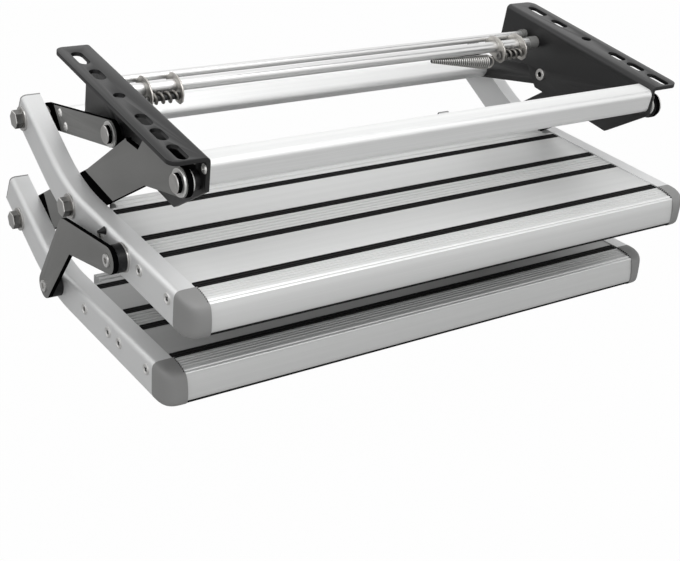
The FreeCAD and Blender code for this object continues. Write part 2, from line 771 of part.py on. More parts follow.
def front_cap(side):
    """Moulded corner cap over the front of a rail and the end of the nose."""
    x0, x1 = sorted((side * NOSE_HALF, side * (RAIL_INNER + RAIL_W)))
    foot = RAIL_TOP - RAIL_H
    profile = Part.Face(nose_outline(RAIL_TOP, RAIL_FRONT, foot)).extrude(V(x1 - x0, 0, 0))
    profile.translate(V(x0, 0, 0))
    front = NOSE_FRONT - 2.0 - RAIL_TOP
    box = Part.makeBox(x1 - x0, RAIL_FRONT - front, RAIL_TOP - foot, V(x0, front, foot))
    outer = side * (RAIL_INNER + RAIL_W)

    def outer_upright(edge):
        mid = edge.CenterOfMass
        upright = abs(edge.tangentAt(edge.FirstParameter).z) > 0.9
        return upright and abs(mid.x - outer) < 0.1 and abs(mid.y - front) < 0.1

    plan = box.makeFillet(CAP_EDGE_R, [e for e in box.Edges if outer_upright(e)])

    def outer_long(edge):
        return abs(edge.tangentAt(edge.FirstParameter).y) > 0.9 and abs(edge.CenterOfMass.x - outer) < 0.1

    def low(edge):
        return abs(edge.CenterOfMass.z - foot) < 0.1

    end = box.makeFillet(RAIL_EDGE_R, [e for e in box.Edges if outer_long(e) and not low(e)])
    side_foot = [e for e in end.Edges if outer_long(e) and low(e)]
    end = end.makeFillet(CAP_SIDE_R, side_foot)
    front_low = [
        e
        for e in box.Edges
        if abs(e.tangentAt(e.FirstParameter).x) > 0.9
        and abs(e.CenterOfMass.y - front) < 0.1
        and abs(e.CenterOfMass.z - foot) < 0.1
    ]
    chin = box.makeFillet(CAP_FOOT_R, front_low)
    return tidy(profile.common(plan).common(end).common(chin))


def hex_bolt(side, centre, tip):
    """Hex bolt from outside a rail through to the tip, with its washer as one group."""
    seat = RAIL_INNER + RAIL_W + WASHER_T
    head = hexagon(centre, HEX_FLATS, side * seat, side * (seat + HEX_H))
    return tidy(head.fuse(disc(centre, PIN_R, side * tip, side * seat)))


def lock_nut(side, centre):
    x0 = side * (LEVER_INNER - RUN_GAP)
    x1 = side * (LEVER_INNER - RUN_GAP - NUT_H)
    return tidy(hexagon(centre, HEX_FLATS, x0, x1).cut(disc(centre, PIN_R, x0, x1)))


def bolts_through_lever(centre):
    tip = LEVER_INNER - RUN_GAP - NUT_H - 1.5
    return group([hex_bolt(side, centre, tip) for side in SIDES.values()])


def rail_end_bolts():
    """Bolts at the rear ends of the upper rails; they stop flush inside so the link can swing clear."""
    return group([hex_bolt(side, UPPER_LINK, RAIL_INNER) for side in SIDES.values()])


def bolt_washers(centres):
    """Washers on the outer face of a rail, given as (centre, radius)."""
    seat = RAIL_INNER + RAIL_W
    return [washer_on(side, c, seat, r) for side in SIDES.values() for c, r in centres]


def nuts(centre):
    return group([lock_nut(side, centre) for side in SIDES.values()])


def rail_screws(places, to_folded):
    seat = RAIL_INNER + RAIL_W
    return group(
        [pan_screw(to_folded(at), side, seat, RAIL_W + SCREW_L) for side in SIDES.values() for at in places]
    )


def stabiliser(side):
    """Cranked outer link, on the left only, that keeps the lower tread parallel to the upper one."""
    x0, x1 = sorted(side_span(side, STABILISER_INNER, STABILISER_T))
    body = strap(UPPER_STABILISER, STABILISER_ELBOW, STABILISER_R, STABILISER_ELBOW_R, x0, x1)
    body = body.fuse(strap(STABILISER_ELBOW, LOWER_STABILISER, STABILISER_ELBOW_R, STABILISER_R, x0, x1))
    holes = [(UPPER_STABILISER, PIN_R + HOLE_FIT), (LOWER_STABILISER, PIN_R)]
    return tidy(drilled(body, holes, x0, x1))


def stabiliser_pin(side):
    """Hollow rivet at the upper rail that carries the front end of the stabiliser."""
    outer = STABILISER_INNER + STABILISER_T
    foot = RAIL_INNER + RAIL_W - 4.0
    shank = disc(UPPER_STABILISER, PIN_R, side * foot, side * (outer + RUN_GAP + RIVET_H))
    head = disc(UPPER_STABILISER, RIVET_R, side * (outer + RUN_GAP), side * (outer + RUN_GAP + RIVET_H))
    bore = disc(UPPER_STABILISER, RIVET_HOLE_R, side * (outer - RIVET_BORE), side * (outer + RIVET_BORE))
    return tidy(shank.fuse(head).cut(bore))


def stabiliser_end_pin(side):
    """Rivet at the rear end of the stabiliser; it stops just clear of the lower rail."""
    outer = STABILISER_INNER + STABILISER_T
    rail_face = RAIL_INNER + RAIL_W
    shank = disc(LOWER_STABILISER, PIN_R, side * (rail_face + RUN_GAP), side * (outer + RIVET_H))
    head = disc(LOWER_STABILISER, RIVET_R, side * outer, side * (outer + RIVET_H))
    bore = disc(LOWER_STABILISER, RIVET_HOLE_R, side * (outer - RIVET_BORE), side * (outer + RIVET_BORE))
    return tidy(shank.fuse(head).cut(bore))


def stabiliser_spacer(side):
    """Black spacer on the front pin, seated on a washer against the upper rail."""
    seat = RAIL_INNER + RAIL_W + WASHER_T
    return washer_on(side, UPPER_STABILISER, seat, STABILISER_R, STABILISER_INNER - RUN_GAP - seat)


def stabiliser_end_spacer(side):
    rail_face = RAIL_INNER + RAIL_W + RUN_GAP
    return washer_on(side, LOWER_STABILISER, rail_face, STABILISER_R, STABILISER_INNER - rail_face)


def stop_stud(side):
    """Small pointed rubber stop on the upper rail, behind the folded stabiliser."""
    foot = point(side * (RAIL_INNER + RAIL_W), upper_folded(STOP_AT))
    return Part.makeCone(STOP_R, STOP_R / 4.0, STOP_H, foot, V(side, 0, 0))


def cross_rod(centre, radius, half):
    return disc(centre, radius, -half, half)


def shaft_sleeves():
    """Grey sleeves that carry the lock shaft against the bracket plates."""
    out = []
    for side in SIDES.values():
        x0, x1 = sorted((side * (PLATE_INNER - SLEEVE_L), side * PLATE_INNER))
        out.append(ring(LOCK_SHAFT_AT, SLEEVE_R, LOCK_SHAFT_R, x0, x1))
    return group(out)


def tie_collars():
    out = []
    for side in SIDES.values():
        x0, x1 = sorted((side * (PLATE_INNER - COLLAR_L), side * PLATE_INNER))
        out.append(ring(TIE_ROD_AT, COLLAR_R, TIE_ROD_R, x0, x1))
    return group(out)


def spring_ears(side):
    """Pair of flat ears welded on the lock shaft, carrying the spring pin."""
    out = []
    for x in EAR_X:
        x0, x1 = sorted((side * x, side * (x + EAR_T)))
        ear = strap(LOCK_SHAFT_AT, SPRING_PIN_AT, EAR_R, EAR_END_R, x0, x1)
        out.append(tidy(drilled(ear, [(LOCK_SHAFT_AT, LOCK_SHAFT_R), (SPRING_PIN_AT, SPRING_PIN_R)], x0, x1)))
    return group(out)


def spring_pin(side):
    """Rivet through both ears, with a flat head on the inboard ear."""
    shank = disc(SPRING_PIN_AT, SPRING_PIN_R, side * EAR_X[0], side * (EAR_X[1] + EAR_T))
    head = disc(SPRING_PIN_AT, SPRING_HEAD_R, side * (EAR_X[0] - SPRING_HEAD_H), side * EAR_X[0])
    dimple = disc(
        SPRING_PIN_AT, SPRING_PIN_R / 2.0, side * (EAR_X[0] - SPRING_HEAD_H), side * EAR_X[0]
    )
    return tidy(shank.fuse(head).cut(dimple))


def spring(side):
    """Coil spring on its pin, drawn as the sleeve that its turns fill."""
    x0, x1 = sorted((side * (EAR_X[0] + EAR_T + SPRING_GAP), side * (EAR_X[1] - SPRING_GAP)))
    return ring(SPRING_PIN_AT, SPRING_R, SPRING_R - SPRING_WALL, x0, x1)


def tapered(places, centres, radii):
    """Round body along X that narrows from place to place in straight stages."""
    stages = []
    rows = list(zip(places, centres, radii))
    for near, far in zip(rows, rows[1:]):
        ends = [Part.Wire(Part.makeCircle(r, point(x, at), V(1, 0, 0))) for x, at, r in (near, far)]
        stages.append(Part.makeLoft(ends, True, True))
    return stages[0].fuse(stages[1:])


def return_spring(side):
    """Narrowing coil spring between an ear and the lock shaft, drawn as the sleeve its turns fill."""
    places = [side * (PLATE_INNER - d) for d in RETURN_IN]
    outer = tapered(places, RETURN_AT, RETURN_R)
    inner = tapered(places[:2], RETURN_AT[:2], [r - RETURN_WALL for r in RETURN_R[:2]])
    hook_at = shift(RETURN_AT[0], (0.0, RETURN_R[0] - RETURN_HOOK_R))
    hook = disc(hook_at, RETURN_HOOK_R, places[0] - side, side * EAR_X[0])
    return tidy(outer.cut(inner).fuse(hook))


def build_root():
    for name, side in SIDES.items():
        export("bracket_" + name, bracket(side))
        export("front_pivot_pin_" + name, front_pivot(side))
        export("rear_pivot_pin_" + name, rear_pivot(side))
        export("spring_ears_" + name, spring_ears(side))
        export("spring_pin_" + name, spring_pin(side))
        export("coil_spring_" + name, spring(side))
    export("front_tube", front_tube())
    export("front_tube_screws", front_tube_screws())
    export("pivot_washers", pivot_washers())
    export("pivot_spacers", pivot_spacers())
    export("nylon_washers", nylon_washers())
    export("lock_shaft", cross_rod(LOCK_SHAFT_AT, LOCK_SHAFT_R, PLATE_INNER))
    export("shaft_sleeves", shaft_sleeves())
    export("tie_rod", cross_rod(TIE_ROD_AT, TIE_ROD_R, PLATE_INNER))
    export("tie_rod_collars", tie_collars())
    export("return_spring", return_spring(RETURN_SIDE))


def build_linkage():
    for name, side in SIDES.items():
        export("lever_" + name, lever(side))
        export("rear_link_" + name, rear_link(side))
    export("rear_tube", rear_tube())
    export("rear_tube_screws", rear_tube_screws())
    export("rear_link_studs", rear_link_studs())
    export("stabiliser", stabiliser(STABILISER_SIDE))
    export("stabiliser_end_pin", stabiliser_end_pin(STABILISER_SIDE))
    export("stabiliser_end_spacer", stabiliser_end_spacer(STABILISER_SIDE))


def build_upper():
    for name, side in SIDES.items():
        pivots = [UPPER_LEVER, UPPER_LINK]
        if side == STABILISER_SIDE:
            pivots.append(UPPER_STABILISER)
        holes = [turn(shift(at, (-UPPER_AT[0], -UPPER_AT[1])), UPPER_TILT) for at in pivots]
        export("upper_rail_" + name, in_upper(rail(side, holes, UPPER_SCREWS)))
        export("upper_cap_" + name, in_upper(front_cap(side)))
    export("upper_tread", in_upper(tread(UPPER_SCREWS)))
    export("upper_strips", in_upper(strips()))
    export("upper_rail_plugs", in_upper(group([rail_plug(side) for side in SIDES.values()])))
    export("upper_rail_screws", rail_screws(UPPER_SCREWS, upper_folded))
    export("upper_lever_bolts", bolts_through_lever(UPPER_LEVER))
    export("upper_lever_nuts", nuts(UPPER_LEVER))
    export("upper_end_bolts", rail_end_bolts())
    washers = bolt_washers(((UPPER_LEVER, WASHER_R), (UPPER_LINK, WASHER_R)))
    washers.append(washer_on(STABILISER_SIDE, UPPER_STABILISER, RAIL_INNER + RAIL_W, WIDE_WASHER_R))
    export("upper_bolt_washers", group(washers))
    export("stabiliser_pin", stabiliser_pin(STABILISER_SIDE))
    export("stabiliser_spacer", stabiliser_spacer(STABILISER_SIDE))
    export("stop_stud", stop_stud(STABILISER_SIDE))


def build_lower():
    for name, side in SIDES.items():
        export("lower_rail_" + name, in_lower(rail(side, (LOWER_LEVER_HOLE,), LOWER_SCREWS)))
        export("lower_cap_" + name, in_lower(front_cap(side)))
    export("lower_tread", in_lower(tread(LOWER_SCREWS)))
    export("lower_strips", in_lower(strips()))
    export("lower_rail_plugs", in_lower(group([rail_plug(side) for side in SIDES.values()])))
    export("lower_rail_screws", rail_screws(LOWER_SCREWS, lower_folded))
    export("lower_lever_bolts", bolts_through_lever(LOWER_LEVER))
    export("lower_lever_nuts", nuts(LOWER_LEVER))
    export("lower_bolt_washers", group(bolt_washers(((LOWER_LEVER, WASHER_R),))))


def main():
    os.makedirs("parts", exist_ok=True)
    build_root()
    build_linkage()
    build_upper()
    build_lower()
    link_turn = bearing(LINK_PIVOT, UPPER_LINK_OPEN) - bearing(LINK_PIVOT, UPPER_LINK)
    stabiliser_turn = bearing(UPPER_STABILISER_OPEN, LOWER_STABILISER_OPEN) - bearing(
        UPPER_STABILISER, LOWER_STABILISER
    )
    print("lever pivot", LEVER_PIVOT, "link pivot", LINK_PIVOT)
    print("upper lever hole", UPPER_LEVER, "lower lever hole", LOWER_LEVER)
    print("upper link hole", UPPER_LINK, "wanted", upper_folded(UPPER_LINK_HOLE))
    print(
        "stabiliser holes",
        UPPER_STABILISER,
        LOWER_STABILISER,
        "wanted",
        lower_folded(LOWER_STABILISER_HOLE),
    )
    print("turns: lever", -TRAVEL, "link", link_turn, "stabiliser", stabiliser_turn)
    print("open: upper lever", UPPER_OPEN, "lower lever", LOWER_OPEN, "link", UPPER_LINK_OPEN)


main()
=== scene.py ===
"""Dresses the folding entry step: materials, fine pieces, soft studio and camera."""

import json
import math

import bpy
from mathutils import Matrix, Vector

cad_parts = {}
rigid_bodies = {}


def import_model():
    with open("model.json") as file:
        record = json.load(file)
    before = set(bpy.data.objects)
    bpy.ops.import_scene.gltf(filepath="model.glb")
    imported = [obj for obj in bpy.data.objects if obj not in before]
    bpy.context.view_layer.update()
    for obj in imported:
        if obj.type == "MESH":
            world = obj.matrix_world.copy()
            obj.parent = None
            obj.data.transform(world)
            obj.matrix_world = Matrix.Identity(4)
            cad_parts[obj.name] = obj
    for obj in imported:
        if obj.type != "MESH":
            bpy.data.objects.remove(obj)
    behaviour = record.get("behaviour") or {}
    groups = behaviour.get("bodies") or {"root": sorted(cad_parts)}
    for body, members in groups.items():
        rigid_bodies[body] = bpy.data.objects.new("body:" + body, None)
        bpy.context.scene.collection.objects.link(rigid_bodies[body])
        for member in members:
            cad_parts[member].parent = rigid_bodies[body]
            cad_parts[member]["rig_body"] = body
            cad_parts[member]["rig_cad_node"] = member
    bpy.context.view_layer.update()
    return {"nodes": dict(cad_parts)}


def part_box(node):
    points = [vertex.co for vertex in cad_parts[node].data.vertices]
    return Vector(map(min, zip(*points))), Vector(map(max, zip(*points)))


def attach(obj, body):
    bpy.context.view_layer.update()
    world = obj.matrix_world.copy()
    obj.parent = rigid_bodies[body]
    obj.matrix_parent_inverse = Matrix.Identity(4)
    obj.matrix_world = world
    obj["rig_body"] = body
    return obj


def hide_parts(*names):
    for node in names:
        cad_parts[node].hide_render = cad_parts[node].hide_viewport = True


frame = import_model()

bl_info = {
    "name": "Folding entry step",
    "version": (1, 0, 0),
    "blender": (4, 5, 0),
    "location": "3D View > Sidebar > Entry Step",
    "description": "Finishes the folding entry step and its studio",
    "category": "Object",
}

MM = 0.001
NODES = frame["nodes"]

# Step frames, as the steps lie folded: the front strip on each tread's top, and the nose-up tilt
UPPER_AT = (-152.0, -107.5)
UPPER_TILT = 5.2
LOWER_AT = (-124.0, -200.6)
LOWER_TILT = 7.8

# Treads, in their level step frame: reach, corner notches, nose, crown, rear edge, strips and ribs
TREAD_HALF = 281.0
NOSE_HALF = 279.5
TREAD_FRONT = -5.0
TREAD_REAR = 186.0
TREAD_T = 22.0
NOTCH_X = 272.0
NOTCH_Y = 166.0
NOSE_FRONT = -30.0
NOSE_H = 31.0
CROWN_DROP = 5.2
CROWN_POWER = 2.2
REAR_EDGE = ((0.0, -1.0), (-0.6, -0.3), (-1.4, 0.0))
STRIP_Y = (157.0, 97.0, 61.0, 0.0)
STRIP_EDGE = 0.5
RIB_W = 3.0
GROOVE_FLOOR = 0.6
REAR_RIBS = (178.0, 170.0)

# Nose: fine grooves, the two beads, face and lip as (Y, Z) from its front, and its inner wall
MICRO_PITCH = 3.4
MICRO_D = 0.7
MICRO_GAP = 4.0
MICRO_END = 8.5
BEADS = (6.4, 3.2)
BEAD_ARCS = 6
BEAD_SINK = 0.2
BEAD_LEAN = 0.3
# Reach of the painted highlight on the upper half of each bead
BEAD_HIGHLIGHT_REACH = 1.3
NOSE_FACE = ((1.2, -6.4), (0.6, -8.0), (0.0, -11.0), (-1.2, -18.0), (-1.8, -26.0), (-1.7, -28.4))
NOSE_LIP = ((-0.9, -30.2), (0.8, -NOSE_H), (10.0, -NOSE_H), (10.6, -29.5))
NOSE_WALL = ((4.0, -29.5), (5.0, -28.5), (5.0, -TREAD_T))

# Grooves of the tread's underside, and the black strip of painted shade under the nose, from the nose's
# front
UNDER_START = 22.0
UNDER_MARGIN = 15.0
UNDER_PITCH = 20.0
UNDER_W = 6.0
UNDER_D = 1.2
SHADE_STRIP_TOP = 0.2 - NOSE_H
SHADE_STRIP = ((9.0, 0.0), (-0.6, 0.0), (-1.2, -0.7), (-0.9, -1.6), (0.2, -2.1), (8.0, -2.1))

# How far cutting blocks and pins reach past what they cut
PAST = 3.0

# Rails
RAIL_INNER = 281.0
RAIL_W = 20.0
RAIL_TOP = 1.0
RAIL_H = 37.0

# Front caps: how proud they stand, stock for cutting, face and foot as (Y, Z), steps, rounding, mesh
CAP_PROUD = 0.6
CAP_OVER = 0.4
CAP_SEAT = 14.0
CAP_STRAIGHT = 3.0
CAP_CUT = 5.0
CAP_FACE = ((-1.6, -8.0), (-3.0, -16.0), (-3.6, -25.0))
CAP_FOOT = ((-3.0, 6.0), (-0.5, 2.0), (5.0, 0.0))
CAP_STEPS = 8
CAP_ARCS = 10
CAP_ROUND = 0.8
CAP_GRID = 0.8

# Notches along the inner lip of each cap
LIP_PITCH = 2.6
LIP_D = 1.4
LIP_LOW = 0.4
LIP_HIGH = 4.0

# Rail screws: height of the head, its rim, flat and dimple as (width, rise), and its cross recess
SCREW_H = 0.9
SCREW_STEPS = ((0.35, 0.25), (0.9, 0.0), (0.9, -0.6))
SLOT_L = 5.0
SLOT_W = 1.6
SLOT_X = (-4.0, -0.3)
SCREW_TURN = 20.0

# Fixed pins: flat round heads in place of the solids' domes, and the rolled eyelet inside the rear ones
PIN_R = 5.0
PIN_HEAD_R = 8.7
PIN_HEAD_H = 4.1
PIN_DISH = 0.5
PIN_EDGE = 0.5
PIN_RIM = 2.0
EYELET_R = 6.7
EYELET_EDGE = 0.6
EYELET_H = 1.6
EYELET_HOLE_R = 3.0
EYELET_D = 4.0
DOME_H = 4.5

# Hexagon bolts: across the flats, height of the head, broken edge and how far in each shank reaches
HEX_FLATS = 17.0
HEX_H = 8.0
HEX_EDGE = 0.6
BOLT_TIPS = {"upper_lever_bolts": 268.7, "upper_end_bolts": 281.0, "lower_lever_bolts": 268.7}

# Painted shadow of the rails on the levers' lower edges and on the rear links: corners of the cutting
# lines, as (Y, Z)
SHADOW_BAND_TOP = -111.7
SHADOW_BAND_FOOT = -124.6
SHADOW_BAND_END_Y = 110.0
SHADOW_BAND_TIP = ((174.0, -188.0), (134.6, -203.3))
LINK_SHADOW_BAND = ((168.2, -85.2), (143.8, -105.0))

# Spring ears: (Y, Z) outline, and centre and radius of the shaft and pin holes
EAR_OUTLINE = (
    *((71.0, -25.5), (69.5, -20.5), (64.0, -14.5), (58.0, -12.6), (50.0, -12.6), (43.0, -15.0)),
    *((37.0, -20.0), (34.8, -25.5), (35.2, -32.5), (39.5, -37.2), (47.0, -37.6), (54.0, -34.6)),
    (65.0, -33.0),
)
EAR_T = 1.9
EAR_EDGE = 0.45
EAR_HOLES = (((54.0, -23.5), 6.05), ((43.0, -29.6), 3.05))

# Return spring with its hook ring and its dark cone of painted shade inside, wire of all springs, and
# the shaft's sleeves
RETURN_MOUTH = (189.4, 50.4, -39.4)
RETURN_TIP = (112.0, 54.0, -31.8)
RETURN_R = 8.4
RETURN_TIP_SHARE = 0.27
HOOK_AT = (192.5, 52.8, -40.6)
HOOK_R = 7.2
HOOK_WIRE = 0.9
HOOK_TURN = 58.0
HOOK_LEAD = 0.2
SHADE_CONE_DEPTH = 1.8
SHADE_CONE_END = 0.5
WIRE_SIDES = 10
COIL_STEPS = 20
SHAFT_R = 6.05
SLEEVE_R = 6.8
SLEEVE_L = 12.5
SLEEVE_EDGE = 0.3

# Slack, in millimetres, when faces are found by their place
NEAR = 0.1

# Merging, in metres between points and degrees between flat faces, and the steps of a turned piece
SOLID_MERGE = 0.00002
TURNED_MERGE = 0.00001
FLAT_ANGLE = 0.5
ROUND_STEPS = 40

# Which pieces are worked together
SIDES = {"left": -1.0, "right": 1.0}
STEPS = {"upper": (UPPER_AT, UPPER_TILT), "lower": (LOWER_AT, LOWER_TILT)}
LEVERS = ("lever_left", "lever_right")
REAR_LINKS = ("rear_link_left", "rear_link_right")
LINKS = REAR_LINKS + ("stabiliser",)
SMALL_STEEL = ("upper_bolt_washers", "lower_bolt_washers", "pivot_washers", "rear_link_studs")

# Camera: azimuth, elevation and roll in degrees, place in millimetres, and lens
VIEW_ANGLES = (-38.41, 31.76, 9.70)
CAMERA_AT = (-731.7, -916.6, 466.7)
LENS = 65.82
SENSOR = 36.0

# Studio, in metres: each lamp's name, place, aim, width and the property with its power
LAMPS = (
    ("key", (0.15, -0.6, 1.45), (0.0, 0.0, -0.1), 1.3, "key_power"),
    ("fill", (-1.7, -0.9, 0.5), (-0.1, 0.0, -0.15), 1.2, "fill_power"),
    ("rear", (-1.0, 1.3, 0.9), (0.15, 0.1, -0.1), 1.0, "rear_power"),
)
FLOOR_SIZE = 16.0
FLOOR_WHITE = 0.985

# Dark card above the step, out of the camera's view, that gives the metal its streaks
CARD_LOW = (200.0, -620.0, 1190.0)
CARD_HIGH = (2400.0, -60.0, 1200.0)


# Shader values and nodes

class Sock:
    """One shader value; sums written with it add the nodes that work them out."""

    def __init__(self, tree, socket):
        self.tree = tree
        self.socket = socket

    def join(self, operation, other, swapped=False):
        first, second = (other, self) if swapped else (self, other)
        return add_node(self.tree, "ShaderNodeMath", {"operation": operation}, {0: first, 1: second})

    def __add__(self, other):
        return self.join("ADD", other)

    def __radd__(self, other):
        return self.join("ADD", other, True)

    def __sub__(self, other):
        return self.join("SUBTRACT", other)

    def __rsub__(self, other):
        return self.join("SUBTRACT", other, True)

    def __mul__(self, other):
        return self.join("MULTIPLY", other)

    def __rmul__(self, other):
        return self.join("MULTIPLY", other, True)

    def at_least(self, limit):
        return self.join("MAXIMUM", limit)


def plug(tree, entry, value):
    """A link where the value comes from a node, and a plain setting where it is a number."""
    if isinstance(value, Sock):
        tree.links.new(value.socket, entry)
    else:
        entry.default_value = value


def add_node(tree, kind, settings, values, outlet=0):
    """A node of one kind: its settings first, then what goes into its sockets."""
    made = tree.nodes.new(kind)
    for key, value in settings.items():
        setattr(made, key, value)
    for key, value in values.items():
        plug(tree, made.inputs[key], value)
    return Sock(tree, made.outputs[outlet])


def shade(tone, share):
    """A darker or lighter version of a colour."""
    return tuple(c * share for c in tone)


class Finish:
    """A new material and the few ways of adding to its nodes."""

    def __init__(self, name):
        self.material = bpy.data.materials.new(name)
        self.material.use_nodes = True
        self.tree = self.material.node_tree
        self.shader = self.tree.nodes["Principled BSDF"]

    def noise(self, scale, detail=3.0, roughness=0.55, stretch=(1.0, 1.0, 1.0)):
        """Noise on Object coordinates, which may be stretched."""
        coords = add_node(self.tree, "ShaderNodeTexCoord", {}, {}, "Object")
        place = add_node(self.tree, "ShaderNodeMapping", {}, {"Vector": coords, "Scale": stretch})
        values = {"Vector": place, "Scale": scale, "Detail": detail, "Roughness": roughness}
        return add_node(self.tree, "ShaderNodeTexNoise", {}, values)

    def colours(self, factor, dark, light):
        """A mix of two colours, whose sockets in the Mix node are the seventh and eighth."""
        values = {"Factor": factor, 6: (*dark, 1.0), 7: (*light, 1.0)}
        return add_node(self.tree, "ShaderNodeMix", {"data_type": "RGBA"}, values, 2)

    def bump(self, height, strength, distance=0.0002):
        values = {"Height": height, "Strength": strength, "Distance": distance}
        return add_node(self.tree, "ShaderNodeBump", {}, values)

    def set(self, **values):
        for key, value in values.items():
            plug(self.tree, self.shader.inputs[key.replace("_", " ")], value)
        return self.material


# Materials

def anodised(name, tone):
    """Satin anodised aluminium, faintly drawn along its length."""
    f = Finish(name)
    grain = f.noise(900.0, 2.0, 0.5, (1.0, 0.04, 1.0))
    cloud = f.noise(6.0)
    return f.set(
        Base_Color=f.colours(grain * 0.5 + cloud * 0.5, shade(tone, 0.95), shade(tone, 1.04)),
        Metallic=0.4,
        Roughness=0.42 + grain * 0.08 + cloud * 0.06,
        Normal=f.bump(grain, 0.06),
    )


def drawn_aluminium(name, tone, metallic, rough, streak=0.18):
    """Extruded aluminium with long fine draw lines along X."""
    f = Finish(name)
    lines = f.noise(1400.0, 2.0, 0.6, (0.006, 1.0, 1.0))
    bands = f.noise(90.0, 2.0, 0.5, (0.01, 1.0, 1.0))
    cloud = f.noise(5.0, 2.0)
    mix = lines * 0.3 + bands * 0.5 + cloud * 0.2
    return f.set(
        Base_Color=f.colours(mix, shade(tone, 1.0 - streak), shade(tone, 1.12)),
        Metallic=metallic,
        Roughness=rough + lines * 0.12,
        Normal=f.bump(lines + bands * 0.5, 0.1),
    )


def powder_coat(name, tone, rough, gloss):
    """Fine-grained powder coat on steel."""
    f = Finish(name)
    peel = f.noise(1500.0, 2.0, 0.6)
    cloud = f.noise(9.0)
    return f.set(
        Base_Color=f.colours(cloud, shade(tone, 0.9), shade(tone, 1.12)),
        Roughness=rough + peel * 0.08,
        Specular_IOR_Level=gloss,
        Normal=f.bump(peel, 0.12),
    )


def moulded(name, tone, rough, gloss=0.5):
    """Moulded plastic or rubber with a fine even grain."""
    f = Finish(name)
    grain = f.noise(900.0, 2.0, 0.5)
    cloud = f.noise(14.0, 2.0)
    return f.set(
        Base_Color=f.colours(cloud, shade(tone, 0.93), shade(tone, 1.05)),
        Roughness=rough + grain * 0.06,
        Specular_IOR_Level=gloss,
        Normal=f.bump(grain, 0.08),
    )


def plated(name, tone, rough):
    """Bright plated steel with faint cloudy variation."""
    f = Finish(name)
    cloud = f.noise(160.0)
    fine = f.noise(1200.0, 2.0)
    return f.set(
        Base_Color=f.colours(cloud, shade(tone, 0.86), tone),
        Metallic=0.95,
        Roughness=rough + cloud * 0.1 + fine * 0.04,
        Normal=f.bump(fine, 0.05, 0.0001),
    )


def make_finishes(c):
    """Every finish of the step by its plain name, from its colours."""
    tread = tuple(c.tread_colour)
    return {
        "rail": anodised("rail aluminium", tuple(c.rail_colour)),
        "tread": drawn_aluminium("tread aluminium", tread, 0.22, 0.38),
        # Painted shade: the lower tread's top is darker than the upper one, as the upper step shades it
        "low_tread_shade": drawn_aluminium("lower tread top", shade(tread, 0.68), 0.22, 0.38),
        "tube": drawn_aluminium("tube aluminium", tuple(c.tube_colour), 0.55, 0.38, 0.3),
        "rod": drawn_aluminium("bright rod", (0.8, 0.8, 0.795), 0.85, 0.25),
        "black": powder_coat("black powder coat", tuple(c.black_colour), 0.36, 0.5),
        # Painted shade: near black for plate edges, pin walls and the rails' shadow on the levers and
        # rear links
        "rim": powder_coat("deep black edge", (0.0025, 0.0025, 0.0027), 0.3, 0.0),
        # Painted shade: the treads' undersides are dark grey, as they lie in shadow
        "underside": drawn_aluminium("mill underside", (0.2, 0.2, 0.198), 0.3, 0.5),
        "link": powder_coat("charcoal powder coat", tuple(c.charcoal_colour), 0.5, 0.45),
        "washer": plated("washer steel", (0.74, 0.735, 0.72), 0.36),
        "ear": plated("ear steel", (0.56, 0.54, 0.51), 0.36),
        "rubber": moulded("strip rubber", (0.005, 0.005, 0.0052), 0.7, 0.15),
        "grey": moulded("grey plastic", tuple(c.plastic_colour), 0.5, 0.35),
        "black_plastic": moulded("black plastic", (0.008, 0.008, 0.0085), 0.35, 0.3),
        "nylon": moulded("white nylon", (0.78, 0.78, 0.76), 0.38),
        "zinc": plated("zinc plate", tuple(c.zinc_colour), 0.24),
        "bolt": plated("bolt steel", (0.5, 0.495, 0.48), 0.26),
        # Painted shade: the flanks of the hexagon heads are darker than their tops
        "flank_shade": plated("bolt flank", (0.17, 0.168, 0.162), 0.22),
        "spring": plated("spring wire", (0.2, 0.193, 0.18), 0.3),
        # Painted shade in hollows: notches, screw recesses, spring pin walls, eyelet bores and inside
        # the return spring
        "recess": moulded("dark recess", (0.01, 0.01, 0.01), 0.6),
    }


# Made materials by finish, filled by the operator for the solids
FINISHES = {}

# Finishes by node; the others follow from the kind of piece
FINISH_NODES = {
    # Painted light and shade: the left lever and rear link are charcoal and their right twins black, lit
    # and shaded copies of one paint
    "black": ("bracket_left", "bracket_right", "lever_right", "rear_link_right"),
    "link": ("lever_left", "rear_link_left", "stabiliser", "tie_rod_collars"),
    "washer": (
        *("pivot_washers", "stabiliser_pin", "stabiliser_end_pin"),
        *("rear_tube_screws", "front_tube_screws"),
    ),
    "tube": ("front_tube", "rear_tube"),
    "rod": ("lock_shaft", "tie_rod"),
    "black_plastic": ("pivot_spacers", "stabiliser_spacer", "stabiliser_end_spacer", "stop_stud"),
    "nylon": ("nylon_washers",),
    "rubber": ("upper_strips", "lower_strips"),
    "spring": ("coil_spring_left", "coil_spring_right", "return_spring"),
    "grey": ("shaft_sleeves",),
    "bolt": tuple(BOLT_TIPS),
    "tread": ("upper_tread", "lower_tread"),
}


def finish_for(node):
    """The name of a node's finish: listed by its name, or by the kind of piece."""
    for finish, names in FINISH_NODES.items():
        if node in names:
            return finish
    if node.endswith(("_cap_left", "_cap_right", "_plugs")):
        return "grey"
    if node.endswith(("_rail_left", "_rail_right")):
        return "rail"
    return "zinc"


def only(obj):
    """Selects one object alone and makes it the active one."""
    bpy.ops.object.select_all(action="DESELECT")
    obj.select_set(True)
    bpy.context.view_layer.objects.active = obj


def put_back(obj):
    """Leaves the object at the origin with its place in its mesh."""
    only(obj)
    bpy.ops.object.transform_apply(location=True, rotation=True, scale=True)
    return obj


def apply_all(obj):
    """Applies the piece's modifiers in their order."""
    only(obj)
    for name in [m.name for m in obj.modifiers]:
        bpy.ops.object.modifier_apply(modifier=name)


